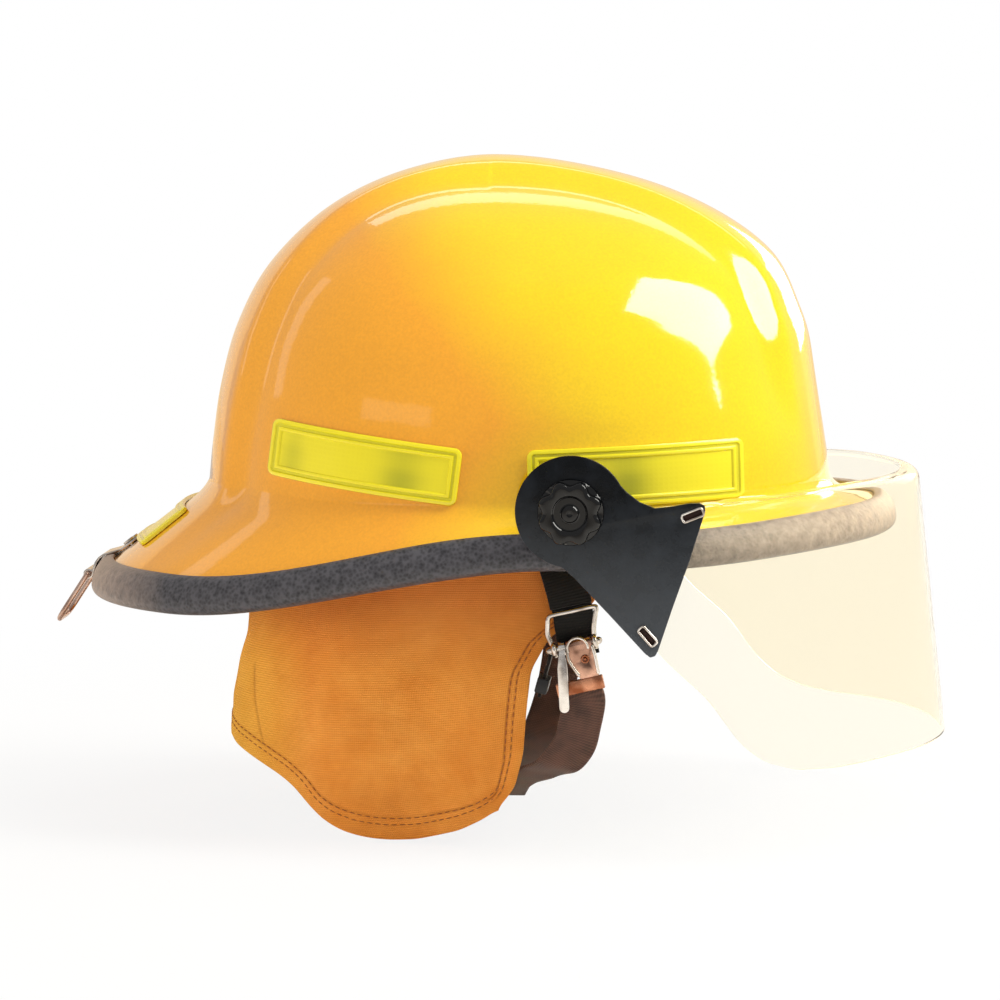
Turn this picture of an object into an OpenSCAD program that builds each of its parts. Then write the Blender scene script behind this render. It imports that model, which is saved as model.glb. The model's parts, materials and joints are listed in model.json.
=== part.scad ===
// Fire helmet with face shield, suspension, ear and neck protector and chin strap.
// +X is the front, +Z is up and -Y is the wearer's right. The origin is the middle of the
// head opening, level with the lower edge of the headband.

/* [Outer shell] */
// Reach of the crown in front of its middle, at its foot
crown_front = 144; // [141:0.5:147]
// Reach of the crown behind its middle, at its foot and without the comb
crown_rear = 116; // [114:0.5:119]
// Half width of the crown at its foot
crown_half = 113; // [111:0.5:115]
// Height of the crown above the head seat, without the comb
crown_h = 159.6; // [157:0.2:163]
// Distance from the head's middle back to the crown's middle
crown_back = 11; // [10:0.5:12]
// Height of the crown's foot at the front and the rear
foot_end_z = 29; // [28:0.5:30]
// Height of the crown's foot at the sides
foot_side_z = 25.5; // [25:0.5:27]
// Wall of the shell
shell_t = 2.6; // [2.2:0.1:3]
// Height of the comb above the crown
comb_h = 6; // [4:0.5:7]
// Half width of the comb over the top
comb_top_half = 29; // [25:1:33]
// Half width of the comb at the foot of the rear
comb_rear_half = 67; // [62:1:70]
// Half width of the comb at the foot of the front
comb_front_half = 55; // [50:1:58]
// Width of the slope at each side of the comb
comb_slope = 13; // [10:1:16]

/* [Brim] */
// Reach of the brim's edge in front of the head's middle
brim_front = 155; // [153:0.5:157]
// Reach of the brim's edge behind the head's middle
brim_rear = 178; // [175:0.5:181]
// Half width of the brim at its edge
brim_half = 127; // [126:0.5:128]
// Height of the brim's edge at the sides
brim_side_z = 13; // [12:0.5:14]
// Height of the brim's edge at the front
brim_front_z = 19.5; // [18:0.5:21]
// Height of the brim's edge at the rear
brim_rear_z = -10.5; // [-12:0.5:-9]
// Depth of the turned down edge of the brim
brim_turn = 7; // [6:0.5:8]
// Rubber of the edge trim over the shell's wall
trim_wall = 4; // [3:0.5:4.5]

/* [Liner and suspension] */
// Thickness of the foam liner
liner_t = 12; // [10:1:13]
// Height of the liner's lower edge
liner_z = 52; // [51:0.5:54]
// Height of the underside of the suspension ring
ring_z = 40; // [39:0.5:41]
// Thickness of the suspension ring
ring_t = 4; // [3:0.5:5]
// Width of the suspension ring
ring_w = 14; // [13:0.5:15]
// Depth of the skirt below the suspension ring
ring_skirt = 7; // [6:0.5:8]
// Width of the crown straps
crown_strap_w = 19; // [16:0.5:22]
// Thickness of the crown straps
crown_strap_t = 1.2; // [1:0.1:1.5]
// Height of the top crown strap's middle above the head seat
crown_strap_z = 118; // [114:0.5:120]
// Radius of the crown pad
crown_pad_r = 38; // [30:1:42]
// Thickness of the crown pad
crown_pad_t = 8; // [6:0.5:10]

/* [Headband] */
// Half length of the headband
band_front = 98; // [96:0.5:100]
// Half width of the headband
band_half = 79; // [77:0.5:81]
// Height of the headband
band_h = 30; // [26:1:32]
// Thickness of the headband
band_t = 2; // [1.6:0.1:2.4]
// Thickness of the brow pad at its crown
brow_pad_t = 7; // [5:0.5:9]
// Thickness of the nape pad at its crown
nape_pad_t = 6; // [5:0.5:8]
// Radius of the ratchet knob
ratchet_r = 12; // [10:0.5:12]
// Depth of the ratchet knob
ratchet_d = 6; // [5:0.5:6]
// Height of the ratchet's axis
ratchet_z = 13; // [12.5:0.5:14]

/* [Face shield] */
// Distance of the pivot in front of the head's middle
pivot_x = 30.8; // [30:0.2:32]
// Height of the pivot
pivot_z = 26.1; // [25.5:0.1:27]
// Radius of the shield in plan beyond its half width
shield_bow = 10.8; // [9.5:0.1:12]
// Distance of the shield's top edge in front of the brim's edge
shield_ahead = 15.4; // [15:0.2:17]
// Thickness of the shield
shield_t = 1.6; // [1.2:0.1:1.7]
// Height of the shield's top edge at the front
shield_top_z = 33; // [32:0.5:34]
// Height of the shield's lower edge at the front
shield_low_z = -79; // [-84:1:-74]
// Width of the lip rolled inwards at the top of the shield
lip_w = 7.7; // [6:0.1:8]
// Distance of the shield's sides outwards of the brim's edge
shield_side = 10.2; // [10:0.1:10.4]
// Thickness of the brackets
bracket_t = 2.5; // [2:0.1:3]
// Radius of the round head of the brackets
bracket_r = 22.5; // [20:0.5:23]
// Radius of the pivot knobs
knob_r = 13.3; // [12:0.1:14]
// Depth of the pivot knobs
knob_d = 9; // [8:0.5:11]
// Radius of the pivot bolts
bolt_r = 3; // [2.5:0.1:3.2]

/* [Reflectors] */
// Height of the rear side reflectors
reflector_rear_h = 23.5; // [20:0.5:24]
// Length of the rear side reflectors along the helmet
reflector_rear_l = 81; // [70:1:84]
// Height of the front side reflectors
reflector_front_h = 24.6; // [22:0.2:25]
// Length of the front side reflectors along the helmet
reflector_front_l = 86; // [76:1:88]
// Thickness of the reflectors
reflector_t = 2; // [1.5:0.1:2.5]

/* [Protector] */
// Thickness of the padded cloth of the ear and neck protector
cloth_t = 2; // [1.6:0.1:2.1]
// Depth of the protector's folds at its lower edge
cloth_fold = 2; // [0:0.2:2.4]

/* [Chin strap] */
// Width of the chin strap's webbing
webbing_w = 17.5; // [16:0.5:17.6]
// Thickness of the chin strap's webbing
webbing_t = 1.5; // [1.2:0.1:1.8]
// Distance of the chin strap's pivots in front of the head's middle
anchor_x = 16.5; // [15:0.5:17]
// Height of the chin strap's pivots
anchor_z = 30; // [29:0.5:31]
// Radius of the chin strap's pivot pins
anchor_pin_r = 2.4; // [2:0.1:2.8]
// Wire radius of the buckle's loop
loop_wire_r = 1.1; // [0.9:0.1:1.3]
// Length of the buckle's finger lever
lever_l = 26; // [22:1:27]

/* [Hanging ring] */
// Wire radius of the hanging ring
hang_wire_r = 1.1; // [1:0.05:1.25]
// Inner width of the hanging ring
hang_w = 26; // [22:1:30]
// Reach of the hanging ring from its pivot
hang_l = 23.5; // [20:0.5:27]
// Width of the hanging ring's tab
hang_tab_w = 20; // [16:1:22]
// Thickness of the hanging ring's tab
hang_tab_t = 1; // [0.8:0.1:1.2]

/* [Hidden] */
$fn = 48;

// Clearances
seat_gap = 0.3;
run_gap = 0.06;
face_gap = 0.1;

// Outlines of the crown from its foot to its top, in percent of its reach and of its height
front_shape = [[100, 0], [97.5, 16], [91.7, 36], [87, 53], [78.5, 71], [59, 85.5], [32.5, 95.3], [0, 100]];
side_shape = [[100, 0], [98.6, 17], [95, 33], [88.5, 50.5], [76, 67.5], [55, 84], [29, 94.7], [0, 100]];
rear_shape = [[100, 0], [98.3, 13], [95.3, 30], [89.2, 49], [77.6, 67.5], [57, 84.5], [31, 95.3], [0, 100]];
crown_n = 2.2;
brim_n = 2.25;
shape_end = len(front_shape) - 1;

// Fillet between crown and brim
crease_run = 2;
crease_drop = 5;
crease_fillet = 8;
knee_fillet = 3;
brim_turn_out = 2;

function mix(a, b, t) = a + (b - a)*t;
function ease(t) = let (s = min(1, max(0, t))) s*s*(3 - 2*s);
function power(v, e) = sign(v)*pow(abs(v), e);
function unit(v) = v/norm(v);
function bend(a, b, c, t) = (1 - t)*(1 - t)*a + 2*t*(1 - t)*b + t*t*c;

// Point at t on the smooth curve through the points p
function spline(a, b, c, d, f) =
    0.5*(2*b + (c - a)*f + (2*a - 5*b + 4*c - d)*f*f + (3*b - a - 3*c + d)*f*f*f);
function along(p, t) = let (n = len(p), i = min(floor(t), n - 2))
    spline(i == 0 ? 2*p[0] - p[1] : p[i - 1], p[i], p[i + 1],
        i == n - 2 ? 2*p[n - 1] - p[n - 2] : p[i + 2], t - i);
// The same for a crown outline, which is mirrored at its top
function outline(p, t) = let (n = len(p), i = min(floor(t), n - 2))
    spline(i == 0 ? 2*p[0] - p[1] : p[i - 1], p[i], p[i + 1],
        i == n - 2 ? [-p[n - 2][0], p[n - 2][1]] : p[i + 2], t - i);

// Crown outline in millimetres, moved inwards by off
function profile(shape, reach, foot, t, off) =
    let (k = [reach/100, (crown_h - foot)/100], e = 0.02,
        p = outline(shape, t), a = outline(shape, max(t - e, 0)), b = outline(shape, min(t + e, shape_end)),
        d = unit([(b[0] - a[0])*k[0], (b[1] - a[1])*k[1]]))
    t > shape_end - e ? [0, crown_h - off]
        : [p[0]*k[0] - off*d[1], foot + p[1]*k[1] + off*d[0]];

// Point of the crown at plan angle a and outline place t, moved inwards by off, without the comb
function dome(a, t, off = 0) =
    let (c = power(cos(a), 2/crown_n), s = power(sin(a), 2/crown_n), w = cos(a)*cos(a),
        e = c >= 0 ? profile(front_shape, crown_front, foot_end_z, t, off)
            : profile(rear_shape, crown_rear, foot_end_z, t, off),
        m = profile(side_shape, crown_half, foot_side_z, t, off))
    [e[0]*c - crown_back, m[0]*s, e[1]*w + m[1]*(1 - w)];

// The comb lifts the crown away from a line along Y through the middle of the head's height
comb_mid_x = -5;
comb_mid_z = 55;
comb_full_z = 62;
function comb_half(p) = let (low = p[0] < -crown_back ? comb_rear_half : comb_front_half,
        k = min(1, max(0, (crown_h - p[2])/(crown_h - comb_full_z))))
    mix(comb_top_half, low, 1 - (1 - k)*(1 - k));
function comb_lift(p) = comb_h*(1 - ease((abs(p[1]) - comb_half(p) + comb_slope)/comb_slope))
    *(p[0] < -crown_back ? 1 : ease((p[2] - 42)/50));
function with_comb(p) = p + comb_lift(p)*unit([p[0] - comb_mid_x, 0, p[2] - comb_mid_z]);

// Edge of the brim and of its turned down lip
function brim_z(x) = x < 20 ? mix(brim_side_z, brim_rear_z, ease((20 - x)/160))
    : mix(brim_side_z, brim_front_z, ease((x - 60)/100));
function brim_edge(a) = let (x = power(cos(a), 2/brim_n)*(cos(a) >= 0 ? brim_front : brim_rear))
    [x, brim_half*power(sin(a), 2/brim_n), brim_z(x)];
function brim_out(a) = let (d = brim_edge(a) - dome(a, 0)) unit([d[0], d[1], 0]);
function rim(a) = brim_edge(a) + brim_turn_out*brim_out(a) - [0, 0, brim_turn];
function brim(a, u) =
    let (f = with_comb(dome(a, 0)), k = brim_edge(a), o = brim_out(a),
        c = f + crease_run*o - [0, 0, crease_drop], d = unit(k - c),
        s = c + crease_fillet*d, m = k - knee_fillet*d, r = rim(a), l = k + knee_fillet*unit(r - k))
    u < 0.3 ? bend(f, c, s, u/0.3) : u < 0.8 ? mix(s, m, (u - 0.3)/0.5)
        : u < 0.9 ? bend(m, k, l, (u - 0.8)/0.1) : mix(l, r, (u - 0.9)/0.1);

// Outer skin of the shell: s is 0 at the rim, 1 at the crown's foot and 2 at its top
function skin(a, s) = s <= 1 ? brim(a, 1 - s) : with_comb(dome(a, (s - 1)*shape_end));
function skin_normal(a, s) = let (e = 0.01, lo = max(0, s - e), hi = min(1.999, s + e))
    unit(cross(skin(a + 1, s) - skin(a - 1, s), skin(a, hi) - skin(a, lo)));
function lifted(a, s, h) = skin(a, s) + h*skin_normal(a, s);

// Outline place at which the crown reaches height z, and skin place at x and z on the +Y side
function place_z(a, z, off, lo, hi, n) = let (m = (lo + hi)/2)
    n == 0 ? m : dome(a, m, off)[2] > z ? place_z(a, z, off, lo, m, n - 1) : place_z(a, z, off, m, hi, n - 1);
function dome_at(a, z, off) = let (p = dome(a, place_z(a, z, off, 0, shape_end, 14), off)) [p[0], p[1], z];
function skin_a(s, x, lo, hi, n) = let (m = (lo + hi)/2)
    n == 0 ? m : skin(m, s)[0] < x ? skin_a(s, x, lo, m, n - 1) : skin_a(s, x, m, hi, n - 1);
function skin_s(x, z, lo, hi, n) = let (m = (lo + hi)/2)
    n == 0 ? m : skin(skin_a(m, x, 1, 179, 12), m)[2] > z ? skin_s(x, z, lo, m, n - 1)
        : skin_s(x, z, m, hi, n - 1);
function skin_at(x, z) = let (s = skin_s(x, z, 0.25, 1.6, 12)) [skin_a(s, x, 1, 179, 12), s];

// Closed mesh of rings with a point at each end
module domed(rings, first, last) {
    n = len(rings[0]);
    m = len(rings);
    polyhedron(concat([first, last], [for (r = rings) each r]),
        concat([for (j = [0:n - 1]) [0, 2 + (j + 1)%n, 2 + j]],
            [for (i = [0:m - 2], j = [0:n - 1], h = [0, 1]) let (p = 2 + i*n, k = (j + 1)%n)
                h == 0 ? [p + j, p + n + k, p + n + j] : [p + j, p + k, p + n + k]],
            [for (j = [0:n - 1]) [1, 2 + (m - 1)*n + j, 2 + (m - 1)*n + (j + 1)%n]]));
}

// Closed mesh of equal sections, as a loop or with flat ends
module swept(sections, loop = false) {
    n = len(sections[0]);
    m = len(sections);
    polyhedron([for (s = sections) each s],
        concat([for (i = [0:m - (loop ? 1 : 2)], j = [0:n - 1], h = [0, 1])
                let (p = i*n, q = ((i + 1)%m)*n, k = (j + 1)%n)
                h == 0 ? [p + j, q + k, p + k] : [p + j, q + j, q + k]],
            loop ? [] : [[for (j = [0:n - 1]) j], [for (j = [n - 1:-1:0]) (m - 1)*n + j]]));
}

// Closed mesh between two grids of points, front and back
module slab(front, back) {
    m = len(front);
    n = len(front[0]);
    all = m*n;
    rim_path = concat([for (j = [0:n - 2]) j], [for (i = [0:m - 2]) i*n + n - 1],
        [for (j = [n - 1:-1:1]) (m - 1)*n + j], [for (i = [m - 1:-1:1]) i*n]);
    c = len(rim_path);
    polyhedron(concat([for (r = front) each r], [for (r = back) each r]),
        concat([for (i = [0:m - 2], j = [0:n - 2], h = [0, 1]) let (p = i*n + j)
                h == 0 ? [p, p + n + 1, p + 1] : [p, p + n, p + n + 1]],
            [for (i = [0:m - 2], j = [0:n - 2], h = [0, 1]) let (p = all + i*n + j)
                h == 0 ? [p, p + 1, p + n + 1] : [p, p + n + 1, p + n]],
            [for (i = [0:c - 1], h = [0, 1]) let (p = rim_path[i], q = rim_path[(i + 1)%c])
                h == 0 ? [p, all + q, all + p] : [p, q, all + q]]));
}

// Flat band of width w and thickness t along the points p, its width kept near the way "wide"
module band(p, w, t, wide) {
    last = len(p) - 1;
    swept([for (i = [0:last])
        let (d = unit(p[min(i + 1, last)] - p[max(i - 1, 0)]), x = unit(wide - (wide*d)*d), y = cross(d, x))
        [p[i] - x*w/2 - y*t/2, p[i] + x*w/2 - y*t/2, p[i] + x*w/2 + y*t/2, p[i] - x*w/2 + y*t/2]]);
}

// Round bar or bore along Y from y0 to y1
module bar_y(x, z, y0, y1, r) {
    translate([x, y1, z]) rotate([90, 0, 0]) cylinder(h = y1 - y0, r = r);
}

// Plate in the XZ plane from y0 to y1
module plate_y(y0, y1) {
    translate([0, y1, 0]) rotate([90, 0, 0]) linear_extrude(y1 - y0) children();
}

module on_side(right) {
    if (right) mirror([0, 1, 0]) children();
    else children();
}

// Outer shell
pivot_hole_r = bolt_r + 0.1;
rivet_r = 1.4;
rivet_head_r = 2.6;
rivet_y = 6;
shell_steps = 64;
shell_rows = [1.95, 1.89, 1.83, 1.78, 1.73, 1.69, 1.65, 1.61, 1.57, 1.53, 1.48, 1.42, 1.34, 1.26,
    1.18, 1.1, 1.05, 1, 0.92, 0.85, 0.7, 0.45, 0.2, 0.15, 0.1, 0];
inner_rows = [0, 0.1, 0.15, 0.2, 0.45, 0.7, 0.85, 1, 1.1, 1.2, 1.32, 1.43, 1.53, 1.61, 1.69, 1.78,
    1.88, 1.95];
crown_top = [-crown_back, 0, crown_h];
module outer_shell() {
    color("gold") difference() {
        domed(concat([for (s = shell_rows) [for (i = [0:shell_steps - 1]) skin(360*i/shell_steps, s)]],
                [for (s = inner_rows) [for (i = [0:shell_steps - 1]) lifted(360*i/shell_steps, s, -shell_t)]]),
            with_comb(crown_top), with_comb(crown_top) - [0, 0, shell_t]);
        bar_y(pivot_x, pivot_z, -brim_half, brim_half, pivot_hole_r);
        for (y = [-rivet_y, rivet_y]) at_rivet(y) cylinder(h = 4*shell_t, r = rivet_r + 0.1, center = true);
    }
}

// Edge trim, a rubber channel over the turned down edge, with one leg over the brim's knee
trim_s = 0.22;
trim_inner = 4;
module edge_trim() {
    color("dimgray") swept([for (i = [0:shell_steps - 1]) trim_section(360*i/shell_steps)], loop = true);
}
function trim_section(a) =
    let (c = seat_gap, w = trim_wall, b = -shell_t - c, r = rim(a), d = unit(r - brim_edge(a)),
        n = skin_normal(a, 0.01),
        legs = [[1, w], [w, 0.55*w], [w + 1, b/2], [w, b - 0.5*w], [1, b - 0.85*w],
            [1 - trim_inner, b - 0.85*w], [-trim_inner, b - 0.5*w], [-trim_inner, b], [c, b], [c, c]])
    concat([lifted(a, trim_s, c), lifted(a, trim_s, 0.4*w), lifted(a, 0.17, 0.8*w), lifted(a, 0.1, w)],
        [for (p = legs) r + p[0]*d + p[1]*n], [lifted(a, 0.1, c), lifted(a, 0.16, c)]);

// Foam liner inside the crown
liner_gap = 1.3;
liner_off = shell_t + liner_gap;
liner_steps = 48;
module impact_liner() {
    color("silver") domed(
        concat([for (k = [7:-1:0]) liner_ring(k/8, liner_off)],
            [for (k = [0:7]) liner_ring(k/8, liner_off + liner_t)]),
        crown_top - [0, 0, liner_off], crown_top - [0, 0, liner_off + liner_t]);
}
function liner_ring(k, off) = [for (i = [0:liner_steps - 1])
    let (a = 360*i/liner_steps, t0 = place_z(a, liner_z, off, 0, shape_end, 14),
        p = dome(a, mix(t0, shape_end, k), off))
    k == 0 ? [p[0], p[1], liner_z] : p];

// Suspension ring under the liner, with a skirt that the protector hangs from
ring_off = shell_t + 0.5;
ring_steps = 72;
function ring_outline(off) = [for (i = [0:ring_steps - 1])
    let (p = dome_at(360*i/ring_steps, ring_z + ring_t, off)) [p[0], p[1]]];
skirt_t = 2;
module suspension_ring() {
    color("dimgray") {
        translate([0, 0, ring_z]) linear_extrude(ring_t) difference() {
            polygon(ring_outline(ring_off));
            polygon(ring_outline(ring_off + ring_w));
        }
        translate([0, 0, ring_z - ring_skirt]) linear_extrude(ring_skirt) difference() {
            polygon(ring_outline(ring_off + ring_w - skirt_t));
            polygon(ring_outline(ring_off + ring_w));
        }
    }
}

// Reach of the ring's outline, moved inwards by off, at compass angle b about the crown's middle
function ring_place(a, off) = let (p = dome_at(a, ring_z + ring_t, off)) [p[0] + crown_back, p[1]];
function plan_angle(b, off, lo, hi, n) = let (m = (lo + hi)/2, p = ring_place(m, off))
    n == 0 ? m : atan2(p[1], p[0]) > b ? plan_angle(b, off, lo, m, n - 1) : plan_angle(b, off, m, hi, n - 1);
function reach_at(b, off) = let (c = abs(b > 180 ? b - 360 : b < -180 ? b + 360 : b))
    norm(ring_place(c == 180 ? c : plan_angle(c, off, 0, 180, 11), off));
ring_in = ring_off + ring_w;

// Crown straps, each an arch through the middle of the crown
key_in = 8;
key_out = 3;
key_w = crown_strap_w + 5;
key_h = liner_z - ring_z - ring_t - 0.5;
key_inset = 5;
strap_step = crown_strap_t + 1;
strap_n = 2.05;
strap_foot = ring_z + ring_t + key_h/2;
module crown_strap(b, level) {
    reach = [reach_at(b + 180, ring_in), reach_at(b, ring_in)];
    top = crown_strap_z - level*strap_step;
    steps = 24;
    color("black") translate([-crown_back, 0, 0]) rotate([0, 0, b])
        band([for (i = [0:steps])
            let (c = cos(180 - 180*i/steps), s = sin(180*i/steps),
                r = (i < steps/2 ? reach[0] : reach[1]) - key_inset)
            [r*power(c, 2/strap_n), 0, strap_foot + (top - strap_foot)*pow(s, 2/strap_n)]],
            crown_strap_w, crown_strap_t, [0, 1, 0]);
}
module crown_strap_lengthwise() { crown_strap(0, 0); }
module crown_strap_right_front() { crown_strap(-60, 1); }
module crown_strap_left_front() { crown_strap(60, 2); }

module crown_strap_keys() {
    color("black") for (b = [0:60:300])
        translate([-crown_back, 0, ring_z + ring_t]) rotate([0, 0, b]) difference() {
            r = reach_at(b, ring_in);
            translate([r - key_in, -key_w/2, 0]) cube([key_in + key_out, key_w, key_h]);
            translate([r - key_inset - crown_strap_t/2 - 0.5, -crown_strap_w/2 - seat_gap, key_h/2 - seat_gap])
                cube([crown_strap_t + 1, crown_strap_w + 2*seat_gap, key_h]);
        }
}

// Crown pad, bowed like the straps above it
pad_bow_r = 82;
pad_top_z = crown_strap_z - 2*strap_step - crown_strap_t/2 - seat_gap;
function pad_arch(r) = let (c = pow(r/pad_bow_r, strap_n/2))
    pad_top_z - (pad_top_z - strap_foot)*(1 - pow(sqrt(1 - c*c), 2/strap_n));
module crown_pad() {
    steps = 10;
    color("gray") translate([-crown_back, 0, -crown_pad_t/2]) rotate_extrude()
        polygon(concat([[0, pad_top_z + crown_pad_t/2]],
            [for (i = [1:2*steps - 1])
                let (c = cos(90 - 90*i/steps), s = sin(90 - 90*i/steps), r = crown_pad_r*pow(c, 0.5))
                [r, pad_arch(r) + crown_pad_t/2*power(s, 0.8)]],
            [[0, pad_top_z - crown_pad_t/2]]));
}

// Headband, an oval strip
band_n = 2.1;
band_steps = 72;
function band_point(a, off) =
    [(band_front + off)*power(cos(a), 2/band_n), (band_half + off)*power(sin(a), 2/band_n)];
function band_sector(a0, a1, in, out, steps) = concat(
    [for (i = [0:steps]) band_point(mix(a0, a1, i/steps), out)],
    [for (i = [steps:-1:0]) band_point(mix(a0, a1, i/steps), in)]);
hanger_angles = [42, 138, 222, 318];
stud_r = 2.5;
stud_z = 22;
module headband() {
    color("black") difference() {
        linear_extrude(band_h) difference() {
            polygon([for (i = [0:band_steps - 1]) band_point(360*i/band_steps, 0)]);
            polygon([for (i = [0:band_steps - 1]) band_point(360*i/band_steps, -band_t)]);
        }
        for (a = hanger_angles) at_hanger(a) translate([0, 0, stud_z]) rotate([0, 90, 0])
            cylinder(h = 4*band_t, r = stud_r + run_gap, center = true);
    }
}

// Hangers from the suspension ring's underside to studs in the headband
hanger_w = 16;
hanger_t = 1.8;
function band_normal(a) = let (d = band_point(a + 0.5, 0) - band_point(a - 0.5, 0)) atan2(-d[0], d[1]);
module at_hanger(a) {
    p = band_point(a, 0);
    translate([p[0], p[1], 0]) rotate([0, 0, band_normal(a)]) children();
}
function hanger_span(a) = let (p = band_point(a, 0)) reach_at(atan2(p[1], p[0] + crown_back), ring_in)
    - norm([p[0] + crown_back, p[1]]);
module headband_hangers() {
    color("dimgray") for (a = hanger_angles) at_hanger(a) {
        translate([seat_gap, -hanger_w/2, stud_z - 6])
            cube([hanger_t, hanger_w, ring_z - ring_skirt - stud_z + 6 - face_gap - hanger_t]);
        translate([seat_gap, -hanger_w/2, ring_z - ring_skirt - face_gap - hanger_t])
            cube([hanger_span(a) + 1, hanger_w, hanger_t]);
        translate([-band_t, 0, stud_z]) rotate([0, 90, 0]) cylinder(h = band_t + seat_gap, r = stud_r);
    }
}

// Pads inside the headband: crowned, with drawn in ends and sewn channels
function pad_grow(t) = 1 - pow(abs(2*t - 1), 4);
module band_pad(a0, a1, z0, z1, thick, channels, cols, rows) {
    grid_in = [for (i = [0:rows]) [for (j = [0:cols])
        let (v = i/rows, u = j/cols, draw = 1 - 0.08*pow(abs(2*v - 1), 2),
            a = mix(a0, a1, 0.5 + (u - 0.5)*draw),
            sewn = 1 - 0.35*pow(abs(cos(180*channels*u)), 6)*(u > 0.02 && u < 0.98 ? 1 : 0),
            h = seat_gap + 0.8 + (thick - 0.8)*pow(pad_grow(u)*pad_grow(v), 0.5)*sewn,
            p = band_point(a, -band_t - h))
        [p[0], p[1], mix(z0, z1, v)]]];
    grid_out = [for (i = [0:rows]) [for (j = [0:cols])
        let (v = i/rows, u = j/cols, draw = 1 - 0.08*pow(abs(2*v - 1), 2),
            p = band_point(mix(a0, a1, 0.5 + (u - 0.5)*draw), -band_t - seat_gap))
        [p[0], p[1], mix(z0, z1, v)]]];
    color("gray") slab(grid_out, grid_in);
}
module brow_pad() { band_pad(-62, 62, 0, 34, brow_pad_t, 6, 30, 7); }
module nape_pad() { band_pad(152, 208, 1, 28, nape_pad_t, 3, 16, 6); }

// Ratchet that draws the headband's tails together
housing_t = 6;
housing_z0 = 1;
housing_z1 = 28;
cover_t = 1.8;
shaft_r = 3;
spigot_r = 2;
pinion_r = 5;
pinion_w = 3.2;
pocket_d = 4.5;
housing_back = band_front + seat_gap + housing_t;
cover_back = housing_back + face_gap + cover_t;
knob_back = cover_back + 0.2;
module ratchet_housing() {
    color("black") difference() {
        translate([0, 0, housing_z0]) linear_extrude(housing_z1 - housing_z0)
            polygon(band_sector(155, 205, seat_gap, seat_gap + housing_t, 24));
        translate([-housing_back - 1, 0, ratchet_z]) rotate([0, 90, 0])
            cylinder(h = pocket_d + 1, r = pinion_r + 0.8);
    }
}
module ratchet_cover() {
    in = seat_gap + housing_t + face_gap;
    color("black") difference() {
        translate([0, 0, housing_z0 + 1]) linear_extrude(housing_z1 - housing_z0 - 2)
            polygon(band_sector(164, 196, in, in + cover_t, 16));
        translate([-cover_back - 1, 0, ratchet_z]) rotate([0, 90, 0])
            cylinder(h = cover_t + 2, r = shaft_r + run_gap);
    }
}
module ratchet_knob() {
    lobes = 10;
    notch_r = 1.8;
    color("black") translate([-knob_back, 0, ratchet_z]) rotate([0, -90, 0]) {
        difference() {
            cylinder(h = ratchet_d, r = ratchet_r);
            for (i = [0:lobes - 1]) rotate([0, 0, 360*i/lobes]) translate([ratchet_r + 0.6, 0, -1])
                cylinder(h = ratchet_d + 2, r = notch_r);
        }
        translate([0, 0, housing_back - knob_back]) cylinder(h = knob_back - housing_back + 0.1, r = shaft_r);
        translate([0, 0, housing_back - knob_back - pinion_w]) cylinder(h = pinion_w + 0.2, r = spigot_r);
    }
}
module ratchet_pinion() {
    teeth = 12;
    color("silver") translate([-housing_back + face_gap, 0, ratchet_z]) rotate([0, 90, 0]) difference() {
        cylinder(h = pinion_w, r = pinion_r);
        translate([0, 0, -1]) cylinder(h = pinion_w + 2, r = spigot_r + 0.02);
        for (i = [0:teeth - 1]) rotate([0, 0, 360*i/teeth]) translate([pinion_r + 0.1, 0, -1])
            cylinder(h = pinion_w + 2, r = 0.75);
    }
}

// Ear and neck protector, by compass angle b about the crown's middle. It hangs round the ring's
// skirt, and below it comes to an oval whose reaches are given against the height.
cloth_n = 2.4;
cloth_rear = 111;
cloth_back = [[-130, 107.5], [-100, 110], [-86, 110.8], [-74, cloth_rear], [-64, 110.4], [-48, 107],
    [-37.5, 103.6], [-30, 103.1], [-20, 103], [50, 103]];
cloth_front = 128;
cloth_top = ring_z - 2*seat_gap;
cloth_off = ring_in - skirt_t - seat_gap;
skirt_z = ring_z - ring_skirt;
// Distance of the front edges in front of the head's middle, right and left, against the height
right_edge = [[-130, -4], [-101, -2], [-92, 5], [-78, 8.6], [-59, 10], [-43, 11.8], [-30, 19],
    [-16, 37], [0, 42], [40, 42]];
left_edge = [[-130, -40], [-104, -38], [-92, -30], [-78, -24], [-59, -19], [-43, -10], [-30, 4],
    [-16, 24], [0, 38], [40, 42]];
// Height of the lower edge against the angle from the rear's middle
lower_edge = [[0, -77], [21, -80], [29, -84.6], [34, -88.3], [38, -91.5], [42, -95], [45, -98],
    [48.4, -102], [51, -106], [54.3, -109.2], [57, -111.4], [60, -113], [64, -114.5], [69, -115.2],
    [75, -114.7], [80, -112.8], [86, -110.1], [89, -107.5], [92, -105], [95, -101]];
right_low_b = 95;
left_low_b = 76;
cloth_rows = [0, 0.045, 0.1, 0.2, 0.32, 0.44, 0.56, 0.68, 0.79, 0.9, 1];
cloth_cols = 52;
cloth_folds = 5;
skirt_half = reach_at(90, cloth_off);
function oval_reach(b, z, side) = let (e = cos(b) < 0 ? lookup(z, cloth_back) : cloth_front)
    pow(pow(abs(cos(b))/e, cloth_n) + pow(abs(sin(b))/side, cloth_n), -1/cloth_n);
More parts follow.
